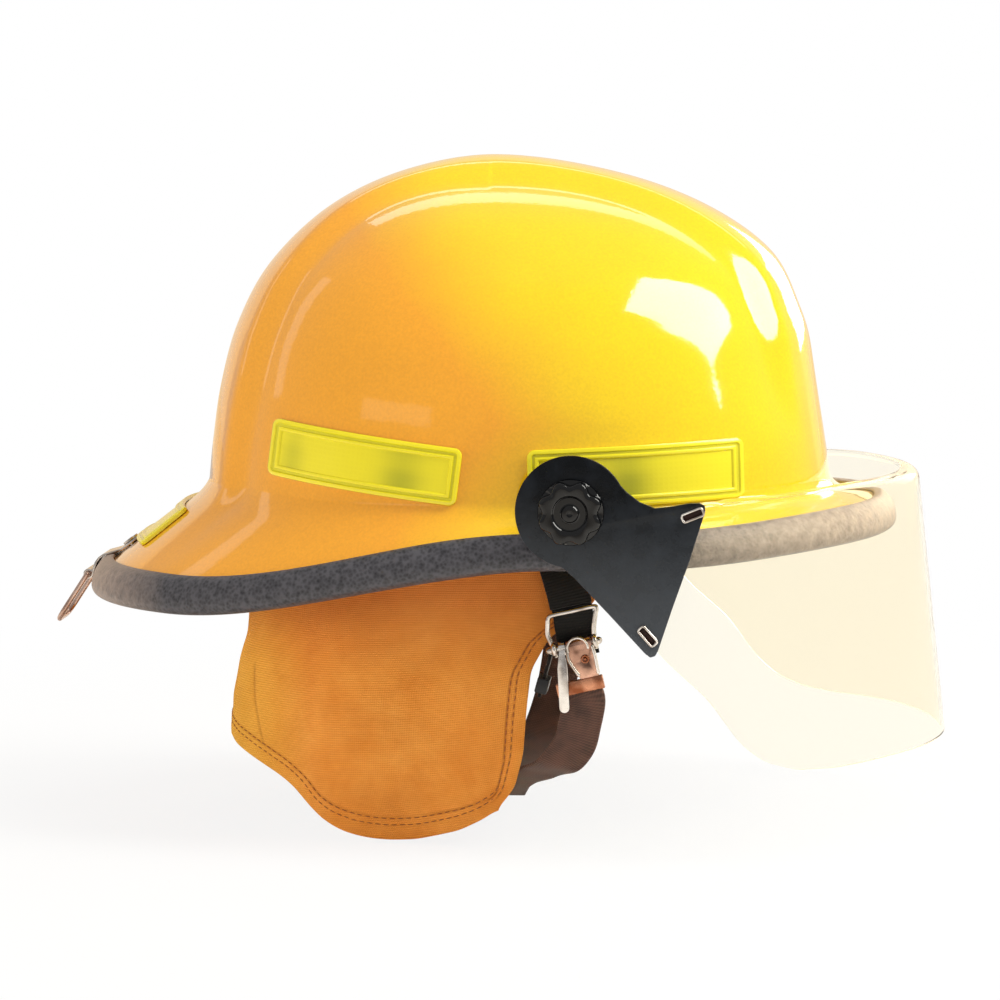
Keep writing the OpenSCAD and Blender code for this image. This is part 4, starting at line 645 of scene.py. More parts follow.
def makeLiner(look):
    angles = around(look["around"])
    outside = crown["wall"] + look["gap"]
    inside = outside + look["thick"]
    foot = {off: crownFoot(angles, off, look["low"]) for off in (outside, inside)}

    def liner(k, off):
        cut = off
        if off == inside:  # vent grooves pressed into the inner face
            wave = (1 + np.cos(np.radians(angles*look["grooves"])))**6/64
            cut = off - look["groove"]*wave*ease(k/0.2)*ease((1 - k)/0.3)
        p = crownPoint(angles, mix(foot[off], shapeEnd, k), cut)
        if k == 0:
            p[:, 2] = look["low"]
        return p
    ks = np.linspace(0, 0.985, look["rows"])
    rows = np.array([liner(k, outside) for k in ks[::-1]] + [liner(k, inside) for k in ks])
    top = crown["high"] - outside
    poles = [[-crown["back"], 0, top], [-crown["back"], 0, top - look["thick"]]]
    placePiece(poleSkin("foamLiner", rows, poles), linerFoam, "impact_liner", 50)


makeLiner(linerLook)
print("shell, trim and liner made")

# face shield: low gives the lower edge's height over lowZ by the angle from the front in degrees
shieldLook = {"radius": 148, "midX": 22.4, "thick": 1.6, "topZ": 33, "lowZ": -79, "lipW": 7.7, "half": 137.2,
    "flare": 0.109, "sideFlare": 0.12, "bracketLow": -31, "endA": 76.3, "lipR": 4.5, "cols": 260, "blend": 6,
    "low": [[0, 0], [30, 0], [45, -1], [52, 0], [57, 4], [61, 12], [66, 30], [70, 39], [73, 46], [76.3, 57]]}


def shieldPoint(a, z, off):
    v = shieldLook
    ca, sa = trig(a)
    r = v["radius"] + (v["topZ"] - z)*v["flare"] - off
    half = v["half"] - off + np.maximum(0, v["bracketLow"] - z)*v["sideFlare"]
    return np.stack([v["midX"] + r*ca, np.sign(a)*softMin(half, r*np.abs(sa), v["blend"]), z + 0*ca], -1)


def makeShield(v):
    a = np.linspace(v["endA"], -v["endA"], v["cols"] + 1)
    turn = np.abs(a)
    bottom = v["lowZ"] + tableValue(v["low"], turn, 1.2)
    top = v["topZ"] - 3*ease((turn - 30)/33) - 6*ease((turn - 65)/6)
    k = mix(0.05, 1, ease((64 - turn)/4))  # the rolled lip dies out behind the brackets
    r, w = v["lipR"]*k, v["lipW"]*k

    def face(off):
        rows = [shieldPoint(a, top - off, w), shieldPoint(a, top - off, mix(w, r, 0.5))]
        for b in np.radians(np.linspace(90, 0, 10)):
            rows.append(shieldPoint(a, top - r + (r - off)*np.sin(b), r - (r - off)*np.cos(b)))
        rows += [shieldPoint(a, mix(top - r, bottom, f), off) for f in np.linspace(0, 1, 26)[1:]]
        return np.array(rows)
    piece = slabSkin("clearShield", face(0), face(v["thick"]))
    roundEdges(piece, 0.4, 2, 50)
    placePiece(piece, shieldClear, "face_shield", 40)


makeShield(shieldLook)
print("shield made")

# reflectors: relief gives inset from the edge and height; patches of painted shade are x, y, width and
# strength
pivot = {"x": 30.8, "z": 26.1, "spacerR": 8}
reflectorLook = {"corner": 3.2, "around": 200, "panel": 4.7, "groove": (2.0, 3.1),
    "relief": [(0, 0.3), (0, 1.3), (0.25, 1.75), (0.7, 1.95), (1.7, 1.95), (2.1, 1.35), (3.0, 1.35),
        (3.3, 1.85), (3.6, 1.95), (4.2, 1.95), (4.5, 1.75), (4.8, 1.2), (5.5, 1.2), (7, 1.2), (8.5, 1.2),
        (10, 1.2)],
    "rear": {"size": (81, 23.5), "mid": (-56.5, 41.8), "lean": -7,
        "paintedShadeOlive": [(17, 2, 9, 0.6), (-30, 4, 5, 0.35)]},
    "front": {"size": (86, 24.6), "mid": (54.3, 37.4), "lean": 2, "paintedShadeOlive": [(-3, 3, 9, 0.7)]},
    "brim": {"size": (84, 27), "angle": 18, "from": 0.375, "to": 0.67, "paintedShadeOlive": [(20, 3, 8, 0.3)]}}


def roundedRing(l, h, d, corner, count):  # a rounded rectangle inset by d, the same count on every ring
    half = np.array([l/2 - d, h/2 - d])
    rad = min(max(corner - d, 0.02), half.min())
    x, y = half - rad
    starts = [(x, y, 0), (-x, y, 90), (-x, -y, 180), (x, -y, 270)]
    arc, points = 6, []
    for (cx, cy, start), (nx, ny, nextStart) in zip(starts, starts[1:] + starts[:1]):
        c, s = trig(start + np.linspace(0, 90, arc))
        bend = np.stack([cx + rad*c, cy + rad*s], 1)
        c, s = trig(nextStart)
        steps = np.linspace(0, 1, count//4 - arc + 2)[1:-1, None]
        points += [bend, mix(bend[-1], np.array([nx + rad*c, ny + rad*s]), steps)]
    return np.concatenate(points)


def cutBore(piece, at, r):  # a round hole across the helmet
    cutter = newObject("cutter", bpy.data.meshes.new("cutter"))
    turn = Vector((0, 0, 1)).rotation_difference(Vector((0, 1, 0))).to_matrix().to_4x4()
    bm = bmesh.new()
    bmesh.ops.create_cone(bm, segments=64, radius1=r*mm, radius2=r*mm, depth=0.04, cap_ends=True,
        matrix=Matrix.Translation(Vector(at)*mm) @ turn)
    bm.to_mesh(cutter.data)
    bm.free()
    cut = piece.modifiers.new("cut", "BOOLEAN")
    cut.operation, cut.object, cut.solver = "DIFFERENCE", cutter, "EXACT"
    applyModifiers(piece)
    bpy.data.objects.remove(cutter)


def sidePlace(flat, high, v):
    c, s = trig(v["lean"])
    p, q = flat.T
    a, sk = skinPlace(v["mid"][0] + p*c - q*s, v["mid"][1] + p*s + q*c)
    return liftedPoint(a, sk, high)


def rearPlace(flat, high, v):
    a = 180 - v["angle"]*2*flat[:, 0]/v["size"][0]
    return liftedPoint(a, mix(v["from"], v["to"], flat[:, 1]/v["size"][1] + 0.5), high)


def makeReflector(name, node, v, place, side=1, bored=False):
    look = reflectorLook
    deep = v["size"][1]/2 - 0.01
    insets = [(deep, seatGap), *look["relief"], (deep, look["relief"][-1][1])]
    flat = [roundedRing(*v["size"], min(d, deep), look["corner"], look["around"]) for d, high in insets]
    m, n = len(flat), len(flat[0])
    flat = np.concatenate(flat)
    inset, high = (np.repeat(k, n) for k in zip(*insets))
    verts = place(flat, high, v)*np.array([1, side, 1])
    piece = makeMesh(name, verts, gridFaces(m, n, loop=True), flat)
    panel = (inset > look["panel"])*(np.arange(m*n) >= n)*1.0
    # painted shade in patches across the panel
    paintedShadeOlive = sum(k*np.exp(-((flat[:, 0] - x)/w)**2)*(0.6 + 0.4*ease((1.3*y - flat[:, 1])/6))
        for x, y, w, k in v["paintedShadeOlive"])
    # painted shade in the recessed groove
    groove = 0.3*(inset > look["groove"][0])*(inset < look["groove"][1])
    markPoints(piece, "panel", panel)
    markPoints(piece, "paintedShadeOlive", np.clip(paintedShadeOlive*panel + groove, 0, 1))
    tidyMesh(piece, 3e-5)
    if bored:
        cutBore(piece, (pivot["x"], side*115, pivot["z"]), pivot["spacerR"] + 0.4)
    placePiece(piece, limeSheeting, node, 35)


for side, word in ((-1, "right"), (1, "left")):
    for key in ("rear", "front"):
        makeReflector("sideReflector%s_%s" % (key.title(), word), "reflector_%s_%s" % (word, key),
            reflectorLook[key], sidePlace, side, bored=key == "front")
makeReflector("brimReflector", "reflector_rear", reflectorLook["brim"], rearPlace)
print("reflectors made")


# bands and webbing
def bandMesh(name, path, width, thick, wide, fine=10):  # a band with rounded edges; wide is its way across
    p, wide = np.asarray(path, float), np.asarray(wide, float)
    d = unitOf(np.gradient(p, axis=0))
    x = unitOf(wide - (d @ wide)[:, None]*d)
    y = np.cross(d, x)
    run = np.concatenate([[0], np.cumsum(np.linalg.norm(np.diff(p, axis=0), axis=1))])
    r, f = thick/2, np.linspace(0, 1, fine + 1)
    flat = (f - 0.5)*(width - thick)
    c, s = trig(np.linspace(-90, 90, 7)[1:-1])
    cap = width/2 - r + r*c
    section = np.stack([np.concatenate([flat, cap, -flat, -cap]),
        np.concatenate([0*f - r, r*s, 0*f + r, -r*s])], -1)
    across = np.concatenate([f*width, 0*c + width, width - f*width, 0*c])
    rows = p[:, None] + x[:, None]*section[None, :, :1] + y[:, None]*section[None, :, 1:]
    m, n = rows.shape[:2]
    uv = np.stack(np.broadcast_arrays(across[None], run[:, None]), -1).reshape(-1, 2)
    faces = gridFaces(m, n, loop=True).tolist() + [list(range(n))[::-1], [(m - 1)*n + j for j in range(n)]]
    return tidyMesh(makeMesh(name, rows.reshape(-1, 3), faces, uv))


chin = {"webW": 17.5, "webT": 1.5, "anchorX": 16.5, "anchorZ": 30, "anchorY": 102.2, "tabT": 1.6,
    "tabLow": 16, "grip": 6, "rightLean": 14, "leftLean": 3, "loopR": 1.1, "barU": -3.5, "barW": 30.6,
    "barH": 5.5, "barGrip": 3.5}
chin["strapY"] = chin["anchorY"] - 0.2 - chin["tabT"]/2
buckle = {"x": 29.2, "y": -106, "z": -17.8, "tilt": 13}
tail = {"w": 11, "y": 2.7, "from": (-11.4, -13.0), "to": (-21.5, -32.0), "t": 1.4}


def belowTab(lean, y, d):
    c, s = trig(lean)
    return [chin["anchorX"] + d*s, y, chin["anchorZ"] - d*c]


def inBuckle(points):  # from the buckle's own frame: x across the strap, z up along it, y towards the wearer
    p = np.asarray(points, float)
    c, s = trig(buckle["tilt"])
    return np.stack([buckle["x"] + p[..., 0]*c - p[..., 2]*s, buckle["y"] + p[..., 1],
        buckle["z"] + p[..., 0]*s + p[..., 2]*c], -1)


def makeChinWebbing(v):
    y, bar = v["strapY"], -v["barW"] - v["barH"]/2
    held = [v["tabLow"] - v["grip"], v["tabLow"], v["tabLow"] + 6]
    upperPath = [belowTab(v["rightLean"], -y, d) for d in held] + [[23.6, -101.8, 2], [25.8, -103.9, -5],
        inBuckle([0, 0.8, 7]), inBuckle([0, 0, v["loopR"] + v["webT"]/2 + seatGap])]
    lowerPath = [inBuckle([v["barU"], -1, z]) for z in (bar + v["barGrip"], bar, bar - 4)]
    lowerPath += [[32.5, -107, -64], [30, -105.5, -73], [23.5, -101.5, -81], [14.5, -93.5, -86],
        [5.5, -84, -90.5], [0, -70, -96], [-3, -45, -103], [-4, -20, -105.5], [-4, 8, -106.5],
        [-3, 35, -105.5], [0, 60, -101.5], [4, 80, -94], [9, 94, -78], [12.5, 100, -55], [14.5, 102.5, -28],
        [16, y, -4]]
    lowerPath += [belowTab(v["leftLean"], y, d) for d in held[::-1]]
    for name, node, finish, path, steps in (
            ("chinWebbingUpper", "chin_strap_upper", upperWebbing, upperPath, 90),
            ("chinWebbingLower", "chin_strap_lower", lowerWebbing, lowerPath, 360)):
        piece = bandMesh(name, bandPath(path, steps), v["webW"], v["webT"], [1, 0, 0])
        placePiece(piece, finish, node, 60)


def makeTail(v):
    (x0, z0), (x1, z1), y = v["from"], v["to"], v["y"] + v["w"]/2
    path = mix(np.array([x0, y, z0]), np.array([x1, y, z1]), np.linspace(0, 1, 30)[:, None])
    piece = bandMesh("chinWebbingTail", inBuckle(path), v["w"], v["t"], [0, 1, 0])
    placePiece(piece, upperWebbing, "chin_strap_tail", 60)


makeChinWebbing(chin)
makeTail(tail)

# crown straps: arches through the middle of the crown
ring = {"z": 40, "t": 4, "off": 3.1, "w": 14, "skirt": 7, "skirtT": 2}
straps = {"w": 19, "t": 1.2, "top": 118, "power": 2.05, "inset": 5, "keyH": 7.5}
strapFoot = ring["z"] + ring["t"] + straps["keyH"]/2


def ringReach(b, off):  # reach of the ring's outline at compass angle b about the crown's middle
    a = np.linspace(0, 180, 721)
    p = crownPoint(a, crownFoot(a, off, ring["z"] + ring["t"]), off)
    x, y = p[:, 0] + crown["back"], p[:, 1]
    b = np.abs((np.asarray(b, float) + 180) % 360 - 180)
    return np.interp(b, np.degrees(np.arctan2(y, x)), np.hypot(x, y))


def makeCrownStrap(name, node, b, level):
    top = straps["top"] - level*(straps["t"] + 1)
    t, inner = np.linspace(0, 180, 121), ring["off"] + ring["w"]
    c, s = trig(t)
    reach = np.where(t < 90, ringReach(b + 180, inner), ringReach(b, inner)) - straps["inset"]
    u = reach*signedPower(-c, 2/straps["power"])
    z = strapFoot + (top - strapFoot)*np.maximum(s, 0)**(2/straps["power"])
    cb, sb = trig(b)
    path = np.stack([u*cb - crown["back"], u*sb, z], 1)
    placePiece(bandMesh(name, path, straps["w"], straps["t"], [-sb, cb, 0]), crownWebbing, node, 60)


makeCrownStrap("crownWebbingLengthwise", "crown_strap_lengthwise", 0, 0)
makeCrownStrap("crownWebbingRightFront", "crown_strap_right_front", -60, 1)
makeCrownStrap("crownWebbingLeftFront", "crown_strap_left_front", 60, 2)
print("webbing made")

# pads
band = {"front": 98, "half": 79, "t": 2, "power": 2.1}
browPad = {"a0": -62, "a1": 62, "z0": 0, "z1": 34, "thick": 7, "channels": 6, "cols": 180, "rows": 36,
    "fill": 0.7}
napePad = {"a0": 152, "a1": 208, "z0": 1, "z1": 28, "thick": 6, "channels": 3, "cols": 90, "rows": 30,
    "fill": 0.7}
crownPad = {"r": 38, "t": 8, "bow": 82, "around": 128, "steps": 22, "fill": 0.6}


def bandOutline(a, off, z):
    ca, sa = trig(a)
    return np.stack([(band["front"] + off)*signedPower(ca, 2/band["power"]),
        (band["half"] + off)*signedPower(sa, 2/band["power"]), z], -1)


def makeBandPad(name, node, v):
    u, w = np.meshgrid(np.linspace(0, 1, v["cols"] + 1), np.linspace(0, 1, v["rows"] + 1))
    drawn = 1 - 0.08*np.abs(2*w - 1)**2  # the ends pull in towards their corners
    a = mix(v["a0"], v["a1"], 0.5 + (u - 0.5)*drawn)
    crowned = (1 - np.abs(2*u - 1)**4)*(1 - np.abs(2*w - 1)**4)
    line = np.abs((u*v["channels"] + 0.5) % 1 - 0.5)  # distance to the nearest sewn channel, in channels
    sewn = 1 - 0.4*np.exp(-(line/0.09)**2)*(u > 0.02)*(u < 0.98)*ease((1 - np.abs(2*w - 1))/0.25)
    pucker = 0.25*np.sin(w*60)*np.exp(-(line/0.14)**2)
    h = seatGap + 0.8 + (v["thick"] - 0.8 + pucker)*crowned**0.5*sewn
    z = mix(v["z0"], v["z1"], w)
    piece = slabSkin(name, bandOutline(a, -band["t"] - seatGap, z), bandOutline(a, -band["t"] - h, z))
    placePiece(piece, padCloth, node, 60)


def makeCrownPad(v):
    top = straps["top"] - 2*(straps["t"] + 1) - straps["t"]/2 - seatGap
    ck, sk = trig(np.linspace(90, -90, 2*v["steps"] + 1)[1:-1])
    r, high = v["r"]*ck[:, None]**0.5, signedPower(sk, 0.8)[:, None]
    bow = (r/v["bow"])**(straps["power"]/2)
    arch = top - (top - strapFoot)*(1 - np.sqrt(1 - bow*bow)**(2/straps["power"]))
    th = np.radians(around(v["around"]))
    spokes = (0.5 + 0.5*np.cos(6*th[None]))**14*ease(r/12)*ease((v["r"] - r)/8)
    quilt = 1 - 0.22*np.exp(-((np.abs(r/v["r"]) - 0.5)/0.06)**2) - 0.18*spokes
    z = arch - v["t"]/2 + v["t"]/2*high*np.where(high < 0, quilt, 1)
    rows = np.stack([r*np.cos(th) - crown["back"], r*np.sin(th), z], -1)
    piece = poleSkin("crownPadCloth", rows, [[-crown["back"], 0, top], [-crown["back"], 0, top - v["t"]]])
    placePiece(piece, padCloth, "crown_pad", 60)


makeBandPad("browPadCloth", "brow_pad", browPad)
makeBandPad("napePadCloth", "nape_pad", napePad)
makeCrownPad(crownPad)
print("pads made")

# ear and neck protector: tables give x of each edge by height, and height of the hem by distance round;
# sides are height, run and width of a change, puckers are height, wave, start, middle and spread
cloth = {"fold": 2, "folds": 5, "power": 2.4, "rear": 111, "front": 128, "rightLow": 95, "leftLow": 76,
    "cols": 460, "rows": 120, "skin": 1.4, "lining": 0.15, "hemW": 9.9, "hemT": 0.4, "seams": (6.3, 9.0),
    "dartZ": -49, "stitch": {"Pitch": 3.4, "Length": 2.5, "Thickness": 0.42},
    "sides": [(-20, 35, 3), (-75, 40, -4)], "pull": (0.34, 0.6),
    "puckers": [(0.12, 2.0, 0, 5, 4), (0.2, 4.7, 1.3, 13, 6)],
    "back": [[-130, 107.5], [-100, 110], [-86, 110.8], [-74, 111], [-64, 110.4], [-48, 107], [-37.5, 103.6],
        [-30, 103.1], [-20, 103], [50, 103]],
    "right": [[-130, -4], [-101, -2], [-92, 5], [-78, 8.6], [-59, 10], [-43, 11.8], [-30, 19], [-16, 37],
        [0, 42], [40, 42]],
    "left": [[-130, -40], [-104, -38], [-92, -30], [-78, -24], [-59, -19], [-43, -10], [-30, 4], [-16, 24],
        [0, 38], [40, 42]],
    "low": [[0, -77], [21, -80], [29, -84.6], [34, -88.3], [38, -91.5], [42, -95], [45, -98], [48.4, -102],
        [51, -106], [54.3, -109.2], [57, -111.4], [60, -113], [64, -114.5], [69, -115.2], [75, -114.7],
        [80, -112.8], [86, -110.1], [89, -107.5], [92, -105], [95, -101]]}
cloth["top"] = ring["z"] - 2*seatGap
cloth["off"] = ring["off"] + ring["w"] - ring["skirtT"] - seatGap
cloth["skirtZ"] = ring["z"] - ring["skirt"]


def clothPoints(u, v, off):
    c = cloth
    z = mix(c["top"], tableValue(c["low"], np.abs(mix(-c["rightLow"], c["leftLow"], u)), 1.6), v)
    side = ringReach(90, c["off"]) + sum(wide*ease((start - z)/run) for start, run, wide in c["sides"])

    def edgeAngle(x):
        d = x + crown["back"]
        e = np.where(d < 0, c["rear"], c["front"])
        return np.degrees(np.arctan2(side*(1 - np.abs(d/e)**c["power"])**(1/c["power"]), d))
    right, left = (edgeAngle(tableValue(c[k], z, 2.5)) for k in ("right", "left"))
    b = mix(360 - right, left, u)
    cb, sb = trig(b)
    e = np.where(cb < 0, tableValue(c["back"], z, 2), c["front"])
    oval = ((np.abs(cb)/e)**c["power"] + (np.abs(sb)/side)**c["power"])**(-1/c["power"])
    fall, hung = ease((c["top"] - 20 - z)/110), ease((c["skirtZ"] - z)/8)
    fold = c["fold"]*fall*np.sin(np.radians(360*c["folds"]*u + 60))*ease(np.minimum(u, 1 - u)/0.08)
    r = off + fold + mix(ringReach(b, c["off"]), oval, hung)
    return np.stack([r*cb - crown["back"], r*sb, z], -1)


def stitchTree(name):  # stitches laid along a line
    tree = bpy.data.node_groups.new(name, "GeometryNodeTree")
    sockets = [("Line", "INPUT", "Geometry"), ("Pitch", "INPUT", "Float"), ("Length", "INPUT", "Float"),
        ("Thickness", "INPUT", "Float"), ("Thread", "INPUT", "Material"), ("Stitches", "OUTPUT", "Geometry")]
    for label, way, kind in sockets:
        tree.interface.new_socket(label, in_out=way, socket_type="NodeSocket" + kind)
    start = addNode(tree, "NodeGroupInput").node.outputs
    curve = addNode(tree, "GeometryNodeMeshToCurve", {"Mesh": start["Line"]})
    even = addNode(tree, "GeometryNodeResampleCurve", {"Curve": curve, "Length": start["Pitch"]},
        mode="LENGTH")
    tangent = addNode(tree, "GeometryNodeInputTangent")
    turn = addNode(tree, "FunctionNodeAlignRotationToVector", {"Vector": tangent}, axis="Z")
    ball = addNode(tree, "GeometryNodeMeshUVSphere", {"Segments": 8, "Rings": 5, "Radius": 0.5})
    wide = start["Thickness"]
    size = addNode(tree, "CombineXYZ", {"X": wide, "Y": wide, "Z": start["Length"]})
    laid = addNode(tree, "GeometryNodeInstanceOnPoints", {"Points": even, "Instance": ball, "Rotation": turn,
        "Scale": size})
    real = addNode(tree, "GeometryNodeRealizeInstances", {"Geometry": laid})
    thread = addNode(tree, "GeometryNodeSetMaterial", {"Geometry": real, "Material": start["Thread"]})
    addNode(tree, "NodeGroupOutput", {"Stitches": thread})
    return tree


def makeStitches(name, lines, sizes, finish, node):
    starts = np.cumsum([0] + [len(line) for line in lines])
    edges = [(k + i, k + i + 1) for k, line in zip(starts.tolist(), lines) for i in range(len(line) - 1)]
    piece = makeMesh(name, np.concatenate(lines), [], edges=edges)
    rows = piece.modifiers.new("stitches", "NODES")
    rows.node_group = stitchTree("sewnStitches")
    values = {"Thread": finish, **{key: size*mm for key, size in sizes.items()}}
    for item in rows.node_group.interface.items_tree:
        if item.name in values:
            rows[item.identifier] = values[item.name]
    applyModifiers(piece)
    return dressing(piece, finish, node)


def contourLine(field, level, surface, runU, runV):  # points in order where field crosses level
    def crossing(values, points, pick):
        hit = np.nonzero((values[:-1] - level)*(values[1:] - level) <= 0)[0][pick:][:1]
        f = [(level - values[j])/(values[j + 1] - values[j] + 1e-9) for j in hit]
        return [mix(points[j], points[j + 1], share) for j, share in zip(hit, f)]
    rows, cols = field.shape
    middle, deep, margin = cols//2, rows//2, level + 3
    right, low, left = [], [], []
    for i in range(rows):
        if runV[-1, 0] - runV[i, 0] > margin:
            right += crossing(field[i, :middle], surface[i, :middle], 0)
        if runV[-1, -1] - runV[i, -1] > margin:
            left += crossing(field[i, middle:], surface[i, middle:], -1)
    for j in range(0, cols, 2):
        if min(runU[-1, j], runU[-1, -1] - runU[-1, j]) >= margin:
            low += crossing(field[deep:, j], surface[deep:, j], -1)
    line = np.array(right + low + left[::-1])
    for _ in range(2):
        line[1:-1] = (line[:-2] + 2*line[1:-1] + line[2:])/4
    return line


def makeProtector(c):
    u, v = np.meshgrid(np.linspace(0, 1, c["cols"] + 1), np.linspace(0, 1, c["rows"] + 1)**0.92)
    base = clothPoints(u, v, c["skin"])
    across, down = np.gradient(base, axis=1), np.gradient(base, axis=0)
    normal = unitOf(np.cross(down, across))
    if (normal*(base + np.array([crown["back"], 0, 0]))).sum() < 0:
        normal = -normal
    stepU, stepV = np.linalg.norm(across, axis=-1), np.linalg.norm(down, axis=-1)
    runU, runV = np.cumsum(stepU, axis=1) - stepU/2, np.cumsum(stepV, axis=0) - stepV/2
    toBack, toLow = runU[:, -1:] - runU, runV[-1:] - runV
    edge = softMin(softMin(runU, toBack, 3), toLow, 4)
    along = np.where(toLow < runU, runU, runV)
    x, z, below = base[..., 0], base[..., 2], c["skirtZ"] - base[..., 2]
    # the hem is a second turned layer; stitches pull it in and pucker the cloth beside them
    hem = c["hemT"]*ease((c["hemW"] - edge)/0.9)
    deep, spread = c["pull"]
    stitch = -sum(deep*np.exp(-((edge - d)/spread)**2) for d in c["seams"])
    pucker = sum(high*np.sin(along/wave + start)*np.exp(-((edge - middle)/spread)**2)
        for high, wave, start, middle, spread in c["puckers"])
    fall = c["dartZ"] - z  # a short dart runs down from here at each rear corner
    dart = np.exp(-((x + 107.6 + 0.054*fall - 0.0069*fall**2)/0.5)**2)
    dart = dart*ease((fall + 4)/5)*ease((edge - 9)/1.5)*(np.abs(base[..., 1]) > 10)
    rumple = 0.30*np.sin(0.11*z + 5*u*math.pi + 0.6*np.sin(runU/17))
    rumple = rumple + 0.22*np.sin(0.19*z - 0.07*runU + 1.1) + 0.15*np.sin(0.33*z + 0.21*runU)
    calm = ease((edge - 6)/14)*ease((below - 6)/25)
    relief = hem + stitch*ease(below/6) + pucker*ease((below - 4)/12) - 0.3*dart + 0.45*rumple*calm
    outer = base + relief[..., None]*normal
    uv = np.stack([runU, runV], -1).reshape(-1, 2)
    piece = slabSkin("protectorCloth", outer, clothPoints(u, v, c["lining"]), 0, np.concatenate([uv, uv]))
    frontSeamWeight = 0.5 + 0.5*ease((x + 45)/35)  # the seams are darkest along the front edges
    lines = sum(k*np.exp(-((edge - d)/w)**2) for d, k, w in zip(c["seams"], (0.35, 0.75), (0.35, 0.5)))
    seam = (frontSeamWeight*lines*ease(below/6) + 0.4*dart).ravel()
    markPoints(piece, "seam", np.concatenate([seam, 0*seam]))
    roundEdges(piece, 0.5, 2, 60)
    placePiece(piece, protectorDuck, "ear_neck_protector", 50)
    hems = [contourLine(edge, d, outer + 0.12*normal, runU, runV) for d in c["seams"]]
    stitches = makeStitches("hemStitches", hems, c["stitch"], rustThread, "ear_neck_protector")


makeProtector(cloth)
print("protector made")

# pivot knobs: section rows give radius, share of the lobes' notch and height over the bracket
knob = {"y": 140.3, "lobes": 8, "notch": 2.0, "around": 240,
    "section": [(3.06, 0, 6), (3.06, 0, 0), (12.1, 0, 0), (12.9, 0, 0.15), (13.3, 0, 0.6), (13.3, 0, 1.6),
        (13.05, 0, 2.1), (13.3, 0.6, 2.35), (13.15, 1, 2.6), (13.15, 1, 5), (13.1, 1, 7.6), (12.9, 1, 8.25),
        (12.4, 1, 8.75), (11.7, 1, 8.97), (10.6, 0.8, 9), (8, 0, 8.98), (7.35, 0, 8.88), (7, 0, 8.55),
        (6.85, 0, 7.7), (6.4, 0, 7.4), (4.1, 0, 7.4), (3.6, 0, 7.7), (3.5, 0, 8.5), (3.1, 0, 8.9),
        (2.5, 0, 9), (1.3, 0, 9), (1.05, 0, 8.85), (0.9, 0, 8.4), (0.4, 0, 8.3)]}


def makeKnob(v, side, word):
    a = around(v["around"])
    ca, sa = trig(a)
    notch = v["notch"]*(0.5 + 0.5*np.cos(v["lobes"]*np.radians(a)))**1.2
    rows = []
    for r, share, y in v["section"]:
        r = r - share*notch
        rows.append(np.stack([pivot["x"] + r*ca, 0*a + side*(v["y"] + y), pivot["z"] + r*sa], -1))
    poles = [[pivot["x"], side*(v["y"] + v["section"][i][2]), pivot["z"]] for i in (0, -1)]
    placePiece(poleSkin("pivotKnob_" + word, np.array(rows), poles), knobNylon, "pivot_knob_" + word, 30)


makeKnob(knob, -1, "right")
makeKnob(knob, 1, "left")

# clips in the brackets' slots: rolled steel frames round a dark sheet that stands in for the shade inside the
# slot
clips = {"places": [(48.6, -0.9, 22), (30.8, -49.7, -48)], "long": 9.9, "high": 4.3, "corner": 1.5,
    "face": 140.1, "around": 72,
    "frame": [(0, 0.02), (0, 0.3), (0.12, 0.65), (0.4, 0.88), (0.75, 0.85), (1.0, 0.6), (1.12, 0.2),
        (1.12, -2.65), (0.52, -2.65), (0.52, 0.02), (0, 0.02)],
    "fill": [(1.12, -2.5), (1.12, -1.1), (1.4, -0.9), (2.12, -0.9)]}


def clipMesh(name, v, section, side, capped):
    verts, faces = [], []
    for x, z, lean in v["places"]:
        c, s = trig(lean)
        rings = []
        for inset, out in section:
            p, q = roundedRing(v["long"], v["high"], inset, v["corner"], v["around"]).T
            rings.append(np.stack([pivot["x"] + x + p*c - q*s, 0*p + side*(v["face"] + out),
                pivot["z"] + z + p*s + q*c], -1))
        m, n, k = len(section), v["around"], len(verts)
        faces += (gridFaces(m, n, loop=True) + k).tolist()
        if capped:
            faces += [[k + (m - 1)*n + j for j in range(n)], [k + j for j in range(n)]]
        verts += np.concatenate(rings).tolist()
    return tidyMesh(makeMesh(name, verts, faces), 1e-6)


for side, word in ((-1, "right"), (1, "left")):
    placePiece(clipMesh("clipFrames_" + word, clips, clips["frame"], side, False), nickelSteel,
        "bracket_clips_" + word, 50)
    # painted shade: a dark filling closes the slot
    dressing(clipMesh("clipShadeFillings_" + word, clips, clips["fill"], side, True), slotShadeFill,
        "bracket_" + word, 40)


def wireMesh(name, wires, sides=12):  # round wires: points in the buckle's frame, radius, and whether closed
    verts, faces = [], []
    ca, sa = trig(around(sides))
    for points, radius, closed in wires:
        p = inBuckle(points)
        d = unitOf(np.roll(p, -1, 0) - np.roll(p, 1, 0)) if closed else unitOf(np.gradient(p, axis=0))
        r = np.full(len(p), float(radius))
        if not closed:  # domed ends
            c, s = trig(np.array([90, 60, 30]))
            c = np.maximum(c, 0.02)
            p = np.concatenate([p[0] - radius*s[:, None]*d[0], p, p[-1] + radius*s[::-1, None]*d[-1]])
            r = np.concatenate([radius*c, r, radius*c[::-1]])
            d = np.concatenate([d[:1].repeat(3, 0), d, d[-1:].repeat(3, 0)])
        x, k, m = unitOf(np.cross(d[0], [0.31, 0.9, 0.22])), len(verts), len(p)
        for i in range(m):
            x = unitOf(x - (x @ d[i])*d[i])
            verts += (p[i] + r[i]*(ca[:, None]*x + sa[:, None]*np.cross(d[i], x))).tolist()
        faces += (gridFaces(m + 1 if closed else m, sides, loop=True) % (m*sides) + k).tolist()
        if not closed:
            faces += [[k + j for j in range(sides)], [k + (m - 1)*sides + j for j in range(sides)]]
    return tidyMesh(makeMesh(name, verts, faces))


